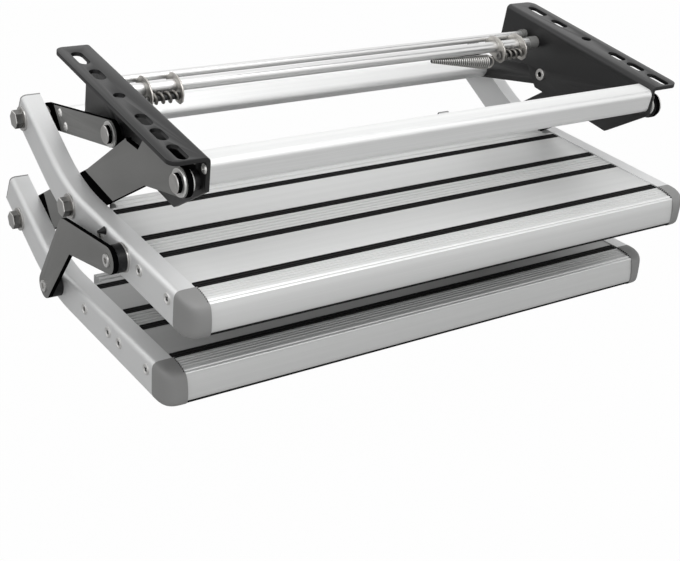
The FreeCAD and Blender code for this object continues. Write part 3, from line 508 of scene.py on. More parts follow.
def smooth(obj, degrees=35.0):
    """Shades the piece smooth apart from edges sharper than the angle."""
    only(obj)
    bpy.ops.object.shade_smooth_by_angle(angle=math.radians(degrees))


def pick_faces(obj, test):
    """In edit mode, selects the faces whose middle and normal pass the test."""
    bpy.ops.mesh.select_mode(type="FACE")
    bpy.ops.mesh.select_all(action="DESELECT")
    bpy.ops.object.mode_set(mode="OBJECT")
    for face in obj.data.polygons:
        face.select = test(face.center, face.normal)
    bpy.ops.object.mode_set(mode="EDIT")


def dress(obj, finish):
    """Gives the whole piece one finish."""
    obj.data.materials.clear()
    obj.data.materials.append(FINISHES[finish])


def second_finish(obj, finish, test):
    """Gives the faces that pass the test another finish."""
    obj.data.materials.append(FINISHES[finish])
    only(obj)
    bpy.ops.object.mode_set(mode="EDIT")
    pick_faces(obj, test)
    obj.active_material_index = len(obj.data.materials) - 1
    bpy.ops.object.material_slot_assign()
    bpy.ops.object.mode_set(mode="OBJECT")


def settle(obj, name, body, finish):
    """Names a finished piece, gives it its finish if it has none, and lets it ride on its body."""
    obj.name = name
    obj.data.name = name
    if finish:
        dress(obj, finish)
    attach(obj, body)
    return obj


# Sizes, colours and levels that a user may change

def length(name, description, millimetres):
    """A length property with its default given in millimetres."""
    return bpy.props.FloatProperty(
        name=name, description=description, default=millimetres * MM, min=0.0, precision=4, unit="LENGTH"
    )


def level(name, description, value, least=0.0):
    """A plain number property."""
    return bpy.props.FloatProperty(name=name, description=description, default=value, min=least)


def colour(name, description, tone):
    """A colour property."""
    return bpy.props.FloatVectorProperty(
        name=name, description=description, default=tone, size=3, min=0.0, max=1.0, subtype="COLOR"
    )


class StepColours(bpy.types.PropertyGroup):
    """Colours of the step's materials."""

    rail_colour: colour("Rails", "Anodised rails", (0.76, 0.765, 0.765))
    tread_colour: colour("Treads", "Drawn aluminium of the treads", (0.7, 0.705, 0.7))
    tube_colour: colour("Tubes", "Cross tubes", (0.95, 0.955, 0.95))
    black_colour: colour("Brackets", "Black powder coat", (0.006, 0.006, 0.0064))
    charcoal_colour: colour("Links", "Charcoal powder coat of levers and links", (0.19, 0.19, 0.185))
    plastic_colour: colour("Caps", "Moulded caps and plugs", (0.275, 0.275, 0.272))
    zinc_colour: colour("Fittings", "Plated small fittings", (0.56, 0.55, 0.535))


class StepForm(bpy.types.PropertyGroup):
    """Sizes of the fine forms of the treads, caps and plates."""

    strip_width: length("Strip width", "Width of a rubber strip's channel", 8.5)
    strip_depth: length("Strip depth", "Depth of a rubber strip's channel", 2.4)
    rib_pitch: length("Rib pitch", "Distance between the ribs of the ribbed field", 5.5)
    rib_depth: length("Rib depth", "Depth of the grooves between the ribs", 1.5)
    bead_radius: length("Bead radius", "Radius of the two beads along the nose's brow", 1.5)
    cap_corner: length("Cap corner", "Reach of a cap's rounded outer corner", 20.0)
    cap_softness: bpy.props.IntProperty(
        name="Cap softness",
        description="Smoothing rounds that give a cap its pillow form",
        default=260,
        min=1,
    )
    plate_edge: length("Plate edge", "Width of the broken edges of the steel plates", 0.7)
    screw_radius: length("Screw head", "Radius of a rail screw's head", 5.5)


class StepSprings(bpy.types.PropertyGroup):
    """Sizes of the wound springs."""

    pin_wire: length("Pin spring wire", "Radius of the wire of the springs on the pins", 1.75)
    pin_turns: level("Pin spring turns", "Turns of the springs on the pins", 3.3, 1.0)
    return_wire: length("Return spring wire", "Radius of the return spring's wire", 0.85)
    return_turns: level("Return spring turns", "Turns of the tapering return spring", 28.0, 1.0)


class StepStudio(bpy.types.PropertyGroup):
    """Sizes and levels of the studio round the step."""

    floor_drop: length("Floor drop", "How far the floor lies under the flanges", 500.0)
    key_power: level("Key power", "Power of the large lamp above", 20.0)
    fill_power: level("Fill power", "Power of the lamp at the left", 4.4)
    rear_power: level("Rear power", "Power of the lamp behind at the left", 3.0)
    sky: level("Sky level", "Level of the even light from all round", 0.5)


# Drawing and cutting pieces

def drawn_line(corners):
    """A line of edges drawn corner by corner, given in millimetres; stays in edit mode."""
    bpy.ops.object.select_all(action="DESELECT")
    bpy.ops.mesh.primitive_plane_add(size=MM, location=Vector(corners[0]) * MM)
    obj = put_back(bpy.context.object)
    bpy.ops.object.mode_set(mode="EDIT")
    bpy.ops.mesh.select_mode(type="VERT")
    bpy.ops.mesh.select_all(action="SELECT")
    bpy.ops.mesh.merge(type="CENTER")
    for start, end in zip(corners, corners[1:]):
        step = (Vector(end) - Vector(start)) * MM
        bpy.ops.mesh.extrude_region_move(TRANSFORM_OT_translate={"value": step})
    bpy.ops.mesh.select_all(action="SELECT")
    return obj


def drawn_outline(corners):
    """A closed flat face inside a drawn line; stays in edit mode."""
    obj = drawn_line(corners)
    bpy.ops.mesh.edge_face_add()
    return obj


def turned(profile, side, centre):
    """A round piece about an axis along X, from its (distance outward, radius) corners."""
    obj = drawn_line([(side * u, 0.0, r) for u, r in profile])
    full = math.radians(360.0)
    bpy.ops.mesh.spin(steps=ROUND_STEPS, angle=full, center=(0.0, 0.0, 0.0), axis=(1.0, 0.0, 0.0))
    bpy.ops.mesh.select_all(action="SELECT")
    bpy.ops.mesh.remove_doubles(threshold=TURNED_MERGE)
    bpy.ops.mesh.normals_make_consistent(inside=False)
    bpy.ops.object.mode_set(mode="OBJECT")
    obj.location = Vector((0.0, *centre)) * MM
    return put_back(obj)


def drawn_out(obj, step):
    """Pulls a drawn face out into a bar and closes it."""
    bpy.ops.mesh.extrude_region_move(TRANSFORM_OT_translate={"value": Vector(step) * MM})
    bpy.ops.mesh.select_all(action="SELECT")
    bpy.ops.mesh.normals_make_consistent(inside=False)
    bpy.ops.object.mode_set(mode="OBJECT")
    return obj


def drawn_bar(points, x0, x1):
    """A bar along X with the given closed (Y, Z) outline."""
    obj = drawn_outline([(x0, *p) for p in points])
    return drawn_out(obj, (x1 - x0, 0.0, 0.0))


def shaped_by(obj, other, operation, finishes="INDEX"):
    """Cuts or trims one piece with another, which is used up."""
    only(obj)
    cut = obj.modifiers.new("shaped", "BOOLEAN")
    cut.operation = operation
    cut.solver = "EXACT"
    cut.material_mode = finishes
    cut.object = other
    apply_all(obj)
    bpy.data.objects.remove(other)


def block(low, high):
    """A plain cutting block between two corners in millimetres."""
    low = Vector(low) * MM
    high = Vector(high) * MM
    bpy.ops.object.select_all(action="DESELECT")
    bpy.ops.mesh.primitive_cube_add(size=1.0, location=(low + high) / 2.0, scale=high - low)
    return put_back(bpy.context.object)


def to_step(obj, at, tilt):
    """Carries a piece from its step's level frame to where the folded step lies."""
    turn = Matrix.Rotation(-math.radians(tilt), 4, "X")
    obj.matrix_world = Matrix.Translation(Vector((0.0, *at)) * MM) @ turn
    return put_back(obj)


def shells(node):
    """Middle, in millimetres, of each separate solid in a node."""
    copied(NODES[node])
    bpy.ops.object.mode_set(mode="EDIT")
    bpy.ops.mesh.select_all(action="SELECT")
    bpy.ops.mesh.remove_doubles(threshold=SOLID_MERGE)
    bpy.ops.mesh.separate(type="LOOSE")
    bpy.ops.object.mode_set(mode="OBJECT")
    found = []
    for part in list(bpy.context.selected_objects):
        corners = [v.co for v in part.data.vertices]
        low = Vector([min(c[k] for c in corners) for k in range(3)]) / MM
        high = Vector([max(c[k] for c in corners) for k in range(3)]) / MM
        found.append((low + high) / 2.0)
        bpy.data.objects.remove(part)
    return found


def copied(obj):
    """A copy with its own mesh."""
    only(obj)
    bpy.ops.object.duplicate()
    return bpy.context.object


def joined(pieces):
    """Several pieces made one."""
    bpy.ops.object.select_all(action="DESELECT")
    for piece in pieces:
        piece.select_set(True)
    bpy.context.view_layer.objects.active = pieces[0]
    bpy.ops.object.join()
    return bpy.context.object


class ENTRY_STEP_OT_finishes(bpy.types.Operator):
    """Gives each solid of the step its finish"""

    bl_idname = "entry_step.finishes"
    bl_label = "Finish the solids"

    def execute(self, context):
        FINISHES.update(make_finishes(context.scene.entry_step_colours))
        for name, obj in NODES.items():
            dress(obj, finish_for(name))
        return {"FINISHED"}


def broken_edges(obj, width, angle=30.0, segments=2):
    """Bevels the edges that turn by more than the angle."""
    edge = obj.modifiers.new("broken edges", "BEVEL")
    edge.width = width * MM
    edge.segments = segments
    edge.limit_method = "ANGLE"
    edge.angle_limit = math.radians(angle)
    apply_all(obj)


def softened(node, width, angle=35.0):
    """A copy of a solid with its sharp edges broken, in place of the solid."""
    body = NODES[node]["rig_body"]
    obj = copied(NODES[node])
    obj.parent = None
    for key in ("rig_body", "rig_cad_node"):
        del obj[key]
    bpy.ops.mesh.customdata_custom_splitnormals_clear()
    bpy.ops.object.mode_set(mode="EDIT")
    bpy.ops.mesh.select_all(action="SELECT")
    bpy.ops.mesh.remove_doubles(threshold=SOLID_MERGE)
    bpy.ops.mesh.dissolve_limited(angle_limit=math.radians(FLAT_ANGLE))
    bpy.ops.object.mode_set(mode="OBJECT")
    broken_edges(obj, width, angle)
    smooth(obj, angle)
    settle(obj, node + "_plate", body, finish_for(node))
    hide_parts(node)
    return obj


# Treads and their caps

def crown(y, proud=0.0):
    """Height of the nose's crowned top at a given Y."""
    reach = (TREAD_FRONT - y) / (TREAD_FRONT - NOSE_FRONT)
    return proud - CROWN_DROP * max(reach, 0.0) ** CROWN_POWER


def groove(y, top, width, depth):
    """Corners of one small groove, from its rear edge to its front edge."""
    half = width / 2.0
    floor = half * GROOVE_FLOOR
    return [(y + half, top), (y + floor, top - depth), (y - floor, top - depth), (y - half, top)]


def strip_channel(y, half, depth):
    """Corners of one rubber strip's channel, from its rear edge to its front edge."""
    return [
        (y + half + STRIP_EDGE, 0.0),
        (y + half, -STRIP_EDGE),
        (y + half, -depth),
        (y - half, -depth),
        (y - half, -STRIP_EDGE),
        (y - half - STRIP_EDGE, 0.0),
    ]


def ribbed_field(p):
    """Grooves between the second and third strips, the rear one first."""
    half = p.strip_width / MM / 2.0
    pitch = p.rib_pitch / MM
    ribs = []
    y = STRIP_Y[2] + half + pitch
    while y < STRIP_Y[1] - half - pitch / 2.0:
        ribs.append(y)
        y += pitch
    points = []
    for rib in reversed(ribs):
        points += groove(rib, 0.0, RIB_W, p.rib_depth / MM)
    return points


def nose_outline(p):
    """The nose from its fine grooves over the beads and down its face to its inner wall."""
    points = []
    y = TREAD_FRONT - MICRO_GAP
    while y > NOSE_FRONT + MICRO_END:
        points += [(a, crown(a) + b) for a, b in groove(y, 0.0, MICRO_PITCH * 0.5, MICRO_D)]
        y -= MICRO_PITCH
    for bead in BEADS:
        points += ridge(NOSE_FRONT + bead, p.bead_radius / MM)
    points += [(NOSE_FRONT + a, z) for a, z in NOSE_FACE + NOSE_LIP]
    points += NOSE_WALL
    return points


def tread_outline(p):
    """Side view of the tread from its rear edge over the top, down the nose and back underneath."""
    points = [(TREAD_REAR + y, z) for y, z in REAR_EDGE]
    for rib in REAR_RIBS:
        points += groove(rib, 0.0, RIB_W, p.rib_depth / MM)
    for k, y in enumerate(STRIP_Y):
        points += strip_channel(y, p.strip_width / MM / 2.0, p.strip_depth / MM)
        if k == 1:
            points += ribbed_field(p)
    points += nose_outline(p)
    y = UNDER_START
    while y < TREAD_REAR - UNDER_MARGIN:
        points += reversed(groove(y, -TREAD_T, UNDER_W, -UNDER_D))
        y += UNDER_PITCH
    points += [(TREAD_REAR - 1.0, -TREAD_T), (TREAD_REAR, -TREAD_T + 1.0)]
    return points


def on_shaded_underside(centre, normal):
    """True on the tread's underside, which carries painted shade."""
    return normal.z < -0.85


def on_shaded_top(centre, normal):
    """True on the tread's top behind the nose, which on the lower tread carries painted shade."""
    return normal.z > 0.6 and centre.y / MM > TREAD_FRONT


def on_bead_highlights(centre, normal):
    """True on the upper half of the nose's two beads, which carries a painted highlight."""
    y = centre.y / MM - NOSE_FRONT
    return normal.z > 0.3 and any(abs(y - bead) < BEAD_HIGHLIGHT_REACH for bead in BEADS)


def ridge(y, radius):
    """One small raised bead along the brow of the nose."""
    base = crown(y) - BEAD_SINK
    points = []
    for k in range(BEAD_ARCS + 1):
        a = math.pi * k / BEAD_ARCS
        lean = BEAD_LEAN * (1 - math.cos(a))
        points.append((y + radius * math.cos(a), base + radius * math.sin(a) - lean))
    return points


def shade_strip_outline():
    """Thin strip of black rubber finish under the lower front edge of the nose: painted shade where the
    nose's underside lies in shadow.
    """
    return [(NOSE_FRONT + y, SHADE_STRIP_TOP + z) for y, z in SHADE_STRIP]


def trim_ends(obj):
    """Cuts the rear corners back for the levers and the nose in for the caps."""
    outer = TREAD_HALF + PAST
    for side in SIDES.values():
        cuts = (
            ((NOTCH_X, NOTCH_Y, -TREAD_T - PAST), (outer, TREAD_REAR + PAST, PAST)),
            ((NOSE_HALF, NOSE_FRONT - 2.0 * PAST, -NOSE_H - PAST), (outer, TREAD_FRONT, PAST)),
        )
        for low, high in cuts:
            xs = sorted((side * low[0], side * high[0]))
            shaped_by(obj, block((xs[0], *low[1:]), (xs[1], *high[1:])), "DIFFERENCE")


def cap_outline():
    """Side view of a front cap: it follows the nose a little proud of it."""
    foot = RAIL_TOP - RAIL_H - CAP_OVER
    rear = TREAD_FRONT + CAP_SEAT
    points = [(rear, foot), (rear, RAIL_TOP + CAP_PROUD / 2.0)]
    for k in range(CAP_STEPS + 1):
        y = TREAD_FRONT + (NOSE_FRONT + 1.0 - TREAD_FRONT) * k / CAP_STEPS
        points.append((y, crown(y, RAIL_TOP + CAP_PROUD)))
    points += [(NOSE_FRONT + y, z) for y, z in CAP_FACE]
    points += [(NOSE_FRONT + y, foot + z) for y, z in CAP_FOOT]
    return points


def cap_plan(side, corner):
    """Top view of a cap: a well rounded outer corner."""
    inner = side * (NOSE_HALF - CAP_SEAT)
    outer = RAIL_INNER + RAIL_W + CAP_OVER
    rear = TREAD_FRONT + CAP_SEAT - 1.0
    front = NOSE_FRONT + CAP_FACE[-1][0]
    start = TREAD_FRONT - CAP_STRAIGHT
    points = [(inner, rear), (side * outer, rear), (side * outer, start)]
    for k in range(1, CAP_ARCS + 1):
        a = math.radians(90.0 * k / CAP_ARCS)
        x = outer - corner * (1.0 - math.cos(a) ** CAP_ROUND)
        points.append((side * x, start - (start - front) * math.sin(a) ** CAP_ROUND))
    points.append((inner, front))
    return points


def lip_notches(side):
    """Cutter for the row of small notches along the inner lip of a cap's top; it hands its dark finish
    to the notches' walls as painted shade.
    """
    teeth = []
    xs = sorted((side * (NOSE_HALF - 1.0), side * (NOSE_HALF + LIP_D)))
    half = LIP_PITCH / 4.0
    y = TREAD_FRONT - LIP_PITCH
    while y > NOSE_FRONT + LIP_PITCH:
        low = (xs[0], y - half, crown(y) - LIP_LOW)
        high = (xs[1], y + half, crown(y) + LIP_HIGH)
        teeth.append(block(low, high))
        y -= LIP_PITCH
    cutter = joined(teeth)
    dress(cutter, "recess")
    return cutter


def front_cap(side, p):
    """Moulded corner cap, evened out to a soft pillow form and cut to its two flat seats."""
    foot = RAIL_TOP - RAIL_H
    outer = RAIL_INNER + RAIL_W + 1.0
    obj = drawn_bar(cap_outline(), *sorted((side * (NOSE_HALF - CAP_SEAT + 1.0), side * outer)))
    plan = drawn_outline([(x, y, foot - CAP_CUT) for x, y in cap_plan(side, p.cap_corner / MM)])
    plan = drawn_out(plan, (0.0, 0.0, RAIL_H + 2.0 * CAP_CUT))
    shaped_by(obj, plan, "INTERSECT")
    grid = obj.modifiers.new("even mesh", "REMESH")
    grid.mode = "VOXEL"
    grid.voxel_size = CAP_GRID * MM
    soft = obj.modifiers.new("soft form", "SMOOTH")
    soft.factor = 0.5
    soft.iterations = p.cap_softness
    apply_all(obj)
    xs = sorted((side * NOSE_HALF, side * (outer + CAP_CUT)))
    low = (xs[0], NOSE_FRONT - 2.0 * CAP_CUT, foot - CAP_CUT)
    high = (xs[1], TREAD_FRONT, RAIL_TOP + CAP_CUT)
    shaped_by(obj, block(low, high), "INTERSECT")
    dress(obj, "grey")
    # The notches' walls take the cutter's painted shade
    shaped_by(obj, lip_notches(side), "DIFFERENCE", "TRANSFER")
    smooth(obj, 50.0)
    return obj


class ENTRY_STEP_OT_treads(bpy.types.Operator):
    """Draws both treads with strip channels, ribs, beads and a crowned nose"""

    bl_idname = "entry_step.treads"
    bl_label = "Treads"

    def execute(self, context):
        for name, place in STEPS.items():
            obj = drawn_bar(tread_outline(context.scene.entry_step_form), -TREAD_HALF, TREAD_HALF)
            trim_ends(obj)
            smooth(obj, 28.0)
            dress(obj, "tread")
            # Painted shade on the underside
            second_finish(obj, "underside", on_shaded_underside)
            # Painted highlight on the beads
            second_finish(obj, "tube", on_bead_highlights)
            # Painted shade on the lower tread's top, which the upper step shades
            if name == "lower":
                second_finish(obj, "low_tread_shade", on_shaded_top)
            to_step(obj, *place)
            settle(obj, name + "_tread_plank", name + "_step", None)
            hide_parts(name + "_tread")
            # A black strip under the nose: painted shade
            shade_strip = drawn_bar(shade_strip_outline(), -NOSE_HALF, NOSE_HALF)
            smooth(shade_strip)
            to_step(shade_strip, *place)
            settle(shade_strip, name + "_nose_edging", name + "_step", "rubber")
        return {"FINISHED"}


class ENTRY_STEP_OT_caps(bpy.types.Operator):
    """Moulds the four rounded front caps"""

    bl_idname = "entry_step.caps"
    bl_label = "Front caps"

    def execute(self, context):
        for name, place in STEPS.items():
            for hand, side in SIDES.items():
                obj = to_step(front_cap(side, context.scene.entry_step_form), *place)
                settle(obj, name + "_cap_moulded_" + hand, name + "_step", None)
                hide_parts(name + "_cap_" + hand)
        return {"FINISHED"}


# Steel plates

def edge_face(centre, normal):
    """True for the rim of a plate that stands square to X; these faces carry painted shade."""
    return abs(normal.x) < 0.5


def past(line, y, z):
    """True on the far side of a (Y, Z) line from the pivots."""
    (y0, z0), (y1, z1) = line
    return (y1 - y0) * (z - z0) - (z1 - z0) * (y - y0) > 0.0


def lever_shadow_band(centre, normal):
    """True in the two bands of a lever painted with the rails' shadow."""
    y, z = centre.y / MM, centre.z / MM
    lobe = SHADOW_BAND_FOOT < z < SHADOW_BAND_TOP and y < SHADOW_BAND_END_Y
    return lobe or (z < SHADOW_BAND_FOOT and past(SHADOW_BAND_TIP, y, z))


def link_shadow_band(centre, normal):
    """True in the band of a rear link painted with the rail's shadow."""
    return past(LINK_SHADOW_BAND, centre.y / MM, centre.z / MM)


def shadow_banded(plate, lines, test):
    """Cuts a plate's faces along (Y, Z) lines and paints the rails' shadow on the bands between them."""
    only(plate)
    bpy.ops.object.mode_set(mode="EDIT")
    for (y0, z0), (y1, z1) in lines:
        bpy.ops.mesh.select_all(action="SELECT")
        bpy.ops.mesh.bisect(plane_co=Vector((0.0, y0, z0)) * MM, plane_no=(0.0, z0 - z1, y1 - y0))
    bpy.ops.object.mode_set(mode="OBJECT")
    second_finish(plate, "rim", test)


def spring_ears(node):
    """The two upright ears of a spring, drawn round the lock shaft and the spring's pin."""
    pair = []
    for middle in shells(node):
        x0 = middle.x - EAR_T / 2.0
        x1 = middle.x + EAR_T / 2.0
        ear = drawn_bar(EAR_OUTLINE, x0, x1)
        for centre, radius in EAR_HOLES:
            hole = [(x0 - PAST, 0.0), (x0 - PAST, radius), (x1 + PAST, radius), (x1 + PAST, 0.0)]
            shaped_by(ear, turned(hole, 1.0, centre), "DIFFERENCE")
        broken_edges(ear, EAR_EDGE)
        smooth(ear)
        pair.append(ear)
    piece = settle(joined(pair), node + "_plate", "bracket_frame", "ear")
    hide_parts(node)


class ENTRY_STEP_OT_plates(bpy.types.Operator):
    """Breaks the sharp edges of the bent and flat steel plates"""

    bl_idname = "entry_step.plates"
    bl_label = "Steel plates"

    def execute(self, context):
        width = context.scene.entry_step_form.plate_edge / MM
        for hand in SIDES:
            softened("bracket_" + hand, width)
        for node in LEVERS + LINKS:
            plate = softened(node, width)
            # Painted shade: the plate's edges are near black
            second_finish(plate, "rim", edge_face)
            # Painted shadow of the rails on the levers and rear links
            if node in LEVERS:
                flat = [((0.0, z), (1.0, z)) for z in (SHADOW_BAND_TOP, SHADOW_BAND_FOOT)]
                shadow_banded(plate, (*flat, SHADOW_BAND_TIP), lever_shadow_band)
            elif node in REAR_LINKS:
                shadow_banded(plate, (LINK_SHADOW_BAND,), link_shadow_band)
        for hand in SIDES:
            spring_ears("spring_ears_" + hand)
        return {"FINISHED"}


# Bolts and pins

def hex_bolt(node, side):
    """One hexagon bolt in place of a node's bolt on the given side."""
    low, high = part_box(node)
    middle = (low + high) / 2.0 / MM
    top = high.x / MM
    seat = top - HEX_H
    radius = HEX_FLATS / math.sqrt(3.0)
    corners = []
    for k in range(6):
        a = math.radians(60.0 * k)
        corners.append((middle.y + radius * math.cos(a), middle.z + radius * math.sin(a)))
    head = drawn_bar(corners, side * seat, side * top)
    broken_edges(head, HEX_EDGE, segments=1)
    tip = BOLT_TIPS[node]
    shank = turned([(tip, 0.0), (tip, PIN_R), (seat, PIN_R), (seat, 0.0)], side, (middle.y, middle.z))
    smooth(shank, 30.0)
    return joined([head, shank])


def bore_shade_faces(centre, axis, floor):
    """True for the wall and floor of an eyelet's bore, which carry painted shade."""
    reach = math.hypot(centre.y / MM - axis.y, centre.z / MM - axis.z)
    return reach < EYELET_HOLE_R + NEAR and abs(centre.x) / MM < floor + NEAR


def fixed_pin(row, hand, side):
    """One fixed pin in place of its solid, with painted shade on the side walls of its shank and head
    and in the bore of its eyelet.
    """
    node = row + "_pivot_pin_" + hand
    low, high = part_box(node)
    inner, outer = sorted((abs(low.x) / MM, abs(high.x) / MM))
    middle = (low + high) / 2.0 / MM
    floor = inner + EYELET_D
    pin = turned(pin_profile(inner, outer - DOME_H, row == "rear"), side, (middle.y, middle.z))
    smooth(pin, 30.0)
    settle(pin, row + "_pin_turned_" + hand, "bracket_frame", "zinc")
    # Painted shade on the side walls of the shank and head, and in the eyelet's bore
    second_finish(pin, "rim", lambda c, n: abs(n.x) < 0.3 and abs(c.x) / MM > floor)
    if row == "rear":
        second_finish(pin, "recess", lambda c, n: bore_shade_faces(c, middle, floor))
    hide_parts(node)


def pin_profile(inner, seat, eyelet):
    """Side view of a fixed pin: plain or rolled inner end, shank and flat dished head."""
    points = [(inner, 0.0), (inner, PIN_R - PIN_EDGE), (inner + PIN_EDGE, PIN_R)]
    if eyelet:
        points = [
            (inner + EYELET_D, 0.0),
            (inner + EYELET_D, EYELET_HOLE_R),
            (inner + PIN_EDGE, EYELET_HOLE_R),
            (inner, EYELET_HOLE_R + EYELET_EDGE),
            (inner, EYELET_R - EYELET_EDGE),
            (inner + EYELET_EDGE, EYELET_R),
            (inner + EYELET_H, EYELET_R),
            (inner + EYELET_H, PIN_R),
        ]
    top = seat + PIN_HEAD_H
    points += [(seat, PIN_R), (seat, PIN_HEAD_R), (top - PIN_EDGE, PIN_HEAD_R)]
    points += [(top, PIN_HEAD_R - PIN_EDGE), (top, PIN_HEAD_R - PIN_RIM)]
    points += [(top - PIN_DISH, PIN_HEAD_R - PIN_RIM - 1.0), (top - PIN_DISH, 0.0)]
    return points


class ENTRY_STEP_OT_fasteners(bpy.types.Operator):
    """Breaks the edges of bolts and washers and turns the flat-headed fixed pins"""

    bl_idname = "entry_step.fasteners"
    bl_label = "Bolts and pins"

    def execute(self, context):
        for node in SMALL_STEEL:
            softened(node, 0.3, 22.0)
        for hand in SIDES:
            pin = softened("spring_pin_" + hand, 0.25, 25.0)
            # Painted shade on the spring pin's side walls
            second_finish(pin, "recess", edge_face)
        for node in BOLT_TIPS:
            pair = joined([hex_bolt(node, side) for side in SIDES.values()])
            settle(pair, node + "_pair", NODES[node]["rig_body"], "bolt")
            # Painted shade on the flanks of the hexagon heads
            second_finish(pair, "flank_shade", edge_face)
            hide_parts(node)
        for row in ("front", "rear"):
            for hand, side in SIDES.items():
                fixed_pin(row, hand, side)
        return {"FINISHED"}


# Springs and sleeves

def coil(x0, x1, centre, radius, wire, turns):
    """A round wire wound along X about the given (Y, Z) centre."""
    bpy.ops.object.select_all(action="DESELECT")
    bpy.ops.mesh.primitive_circle_add(vertices=WIRE_SIDES, radius=wire * MM)
    obj = bpy.context.object
    obj.rotation_euler = (math.radians(90.0), 0.0, 0.0)
    obj.location = Vector((x0, 0.0, radius)) * MM
    put_back(obj)
    wind = obj.modifiers.new("wind", "SCREW")
    wind.axis = "X"
    wind.angle = math.radians(360.0 * turns)
    wind.screw_offset = (x1 - x0) * MM
    wind.steps = int(COIL_STEPS * turns)
    wind.render_steps = wind.steps
    wind.use_merge_vertices = True
    apply_all(obj)
    bpy.ops.object.mode_set(mode="EDIT")
    bpy.ops.mesh.select_mode(type="EDGE")
    bpy.ops.mesh.select_all(action="DESELECT")
    bpy.ops.mesh.select_non_manifold()
    bpy.ops.mesh.edge_face_add()
    bpy.ops.mesh.select_all(action="SELECT")
    bpy.ops.mesh.normals_make_consistent(inside=False)
    bpy.ops.object.mode_set(mode="OBJECT")
    obj.location = Vector((0.0, *centre)) * MM
    return put_back(obj)


def return_coil(p):
    """The long spring that narrows from its mouth by the ear to its tip on the lock shaft."""
    mouth = Vector(RETURN_MOUTH)
    away = Vector(RETURN_TIP) - mouth
    wire = p.return_wire / MM
    obj = coil(-away.length, 0.0, (0.0, 0.0), RETURN_R - wire, wire, p.return_turns)
    dress(obj, "zinc")
    # A dark cone inside the coil: painted shade where the spring's inside lies in shadow
    inside = RETURN_R - SHADE_CONE_DEPTH * wire
    profile = [(SHADE_CONE_END, 0.0), (SHADE_CONE_END, inside), (away.length, inside), (away.length, 0.0)]
    shade_cone = turned(profile, -1.0, (0.0, 0.0))
    dress(shade_cone, "recess")
    obj = joined([obj, shade_cone])
    draw_in = obj.modifiers.new("draw in", "SIMPLE_DEFORM")
    draw_in.deform_method = "TAPER"
    draw_in.deform_axis = "X"
    draw_in.factor = 1.0 - RETURN_TIP_SHARE
    apply_all(obj)
    obj.rotation_mode = "QUATERNION"
    obj.rotation_quaternion = Vector((-1.0, 0.0, 0.0)).rotation_difference(away)
    obj.location = mouth * MM
    put_back(obj)
    ring = coil(-HOOK_LEAD, HOOK_LEAD, (0.0, 0.0), HOOK_R, HOOK_WIRE, 1.0)
    ring.rotation_euler = (0.0, 0.0, math.radians(HOOK_TURN))
    ring.location = Vector(HOOK_AT) * MM
    dress(put_back(ring), "ear")
    return joined([obj, ring])


def shaft_sleeves():
    """The two plain sleeves at the ends of the lock shaft."""
    low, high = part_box("shaft_sleeves")
    outer = high.x / MM
    middle = (low + high) / 2.0 / MM
    inner = outer - SLEEVE_L
    edge_r = SLEEVE_R - SLEEVE_EDGE
    profile = [(outer, SHAFT_R), (outer, edge_r), (outer - SLEEVE_EDGE, SLEEVE_R)]
    profile += [(inner + SLEEVE_EDGE, SLEEVE_R), (inner, edge_r), (inner, SHAFT_R), (outer, SHAFT_R)]
    piece = joined([turned(profile, side, (middle.y, middle.z)) for side in SIDES.values()])
    smooth(piece)
    settle(piece, "sleeve_pair", "bracket_frame", "link")
    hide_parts("shaft_sleeves")


class ENTRY_STEP_OT_springs(bpy.types.Operator):
    """Winds the springs on their pins and the return spring, and turns the shaft's sleeves"""

    bl_idname = "entry_step.springs"
    bl_label = "Coil springs"

    def execute(self, context):
        p = context.scene.entry_step_springs
        wire = p.pin_wire / MM
        for hand in SIDES:
            node = "coil_spring_" + hand
            low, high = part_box(node)
            middle = (low + high) / 2.0 / MM
            span = (low.x / MM + wire, high.x / MM - wire)
            radius = (high.z - low.z) / MM / 2.0 - wire
            obj = coil(*span, (middle.y, middle.z), radius, wire, p.pin_turns)
            smooth(obj, 60.0)
            settle(obj, "wound_spring_" + hand, "bracket_frame", "spring")
            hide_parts(node)
        shaft_sleeves()
        obj = return_coil(p)
        smooth(obj, 60.0)
        settle(obj, "return_coil", "bracket_frame", None)
        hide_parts("return_spring")
        return {"FINISHED"}


# Rail screws

def screw_head(radius):
    """A flat dimpled screw head with a cross recess, facing -X, centred on the origin."""
    bpy.ops.object.select_all(action="DESELECT")
    bpy.ops.mesh.primitive_circle_add(vertices=32, radius=radius, fill_type="NGON")
    obj = bpy.context.object
    obj.rotation_euler = (0.0, math.radians(-90.0), 0.0)
    put_back(obj)
    dress(obj, "washer")
    bpy.ops.object.mode_set(mode="EDIT")
    bpy.ops.mesh.select_all(action="SELECT")
    bpy.ops.mesh.extrude_region_move(TRANSFORM_OT_translate={"value": (-SCREW_H * MM, 0.0, 0.0)})
    for thickness, depth in SCREW_STEPS:
        bpy.ops.mesh.inset(thickness=thickness * MM, depth=depth * MM)
    bpy.ops.mesh.select_all(action="SELECT")
    bpy.ops.mesh.normals_make_consistent(inside=False)
    bpy.ops.object.mode_set(mode="OBJECT")
    # The walls of the cross recess take the dark cutter's finish: painted shade
    for wide, high in ((SLOT_L, SLOT_W), (SLOT_W, SLOT_L)):
        cutter = block((SLOT_X[0], -wide / 2.0, -high / 2.0), (SLOT_X[1], wide / 2.0, high / 2.0))
        dress(cutter, "recess")
        shaped_by(obj, cutter, "DIFFERENCE", "TRANSFER")
    smooth(obj, 30.0)
    return obj


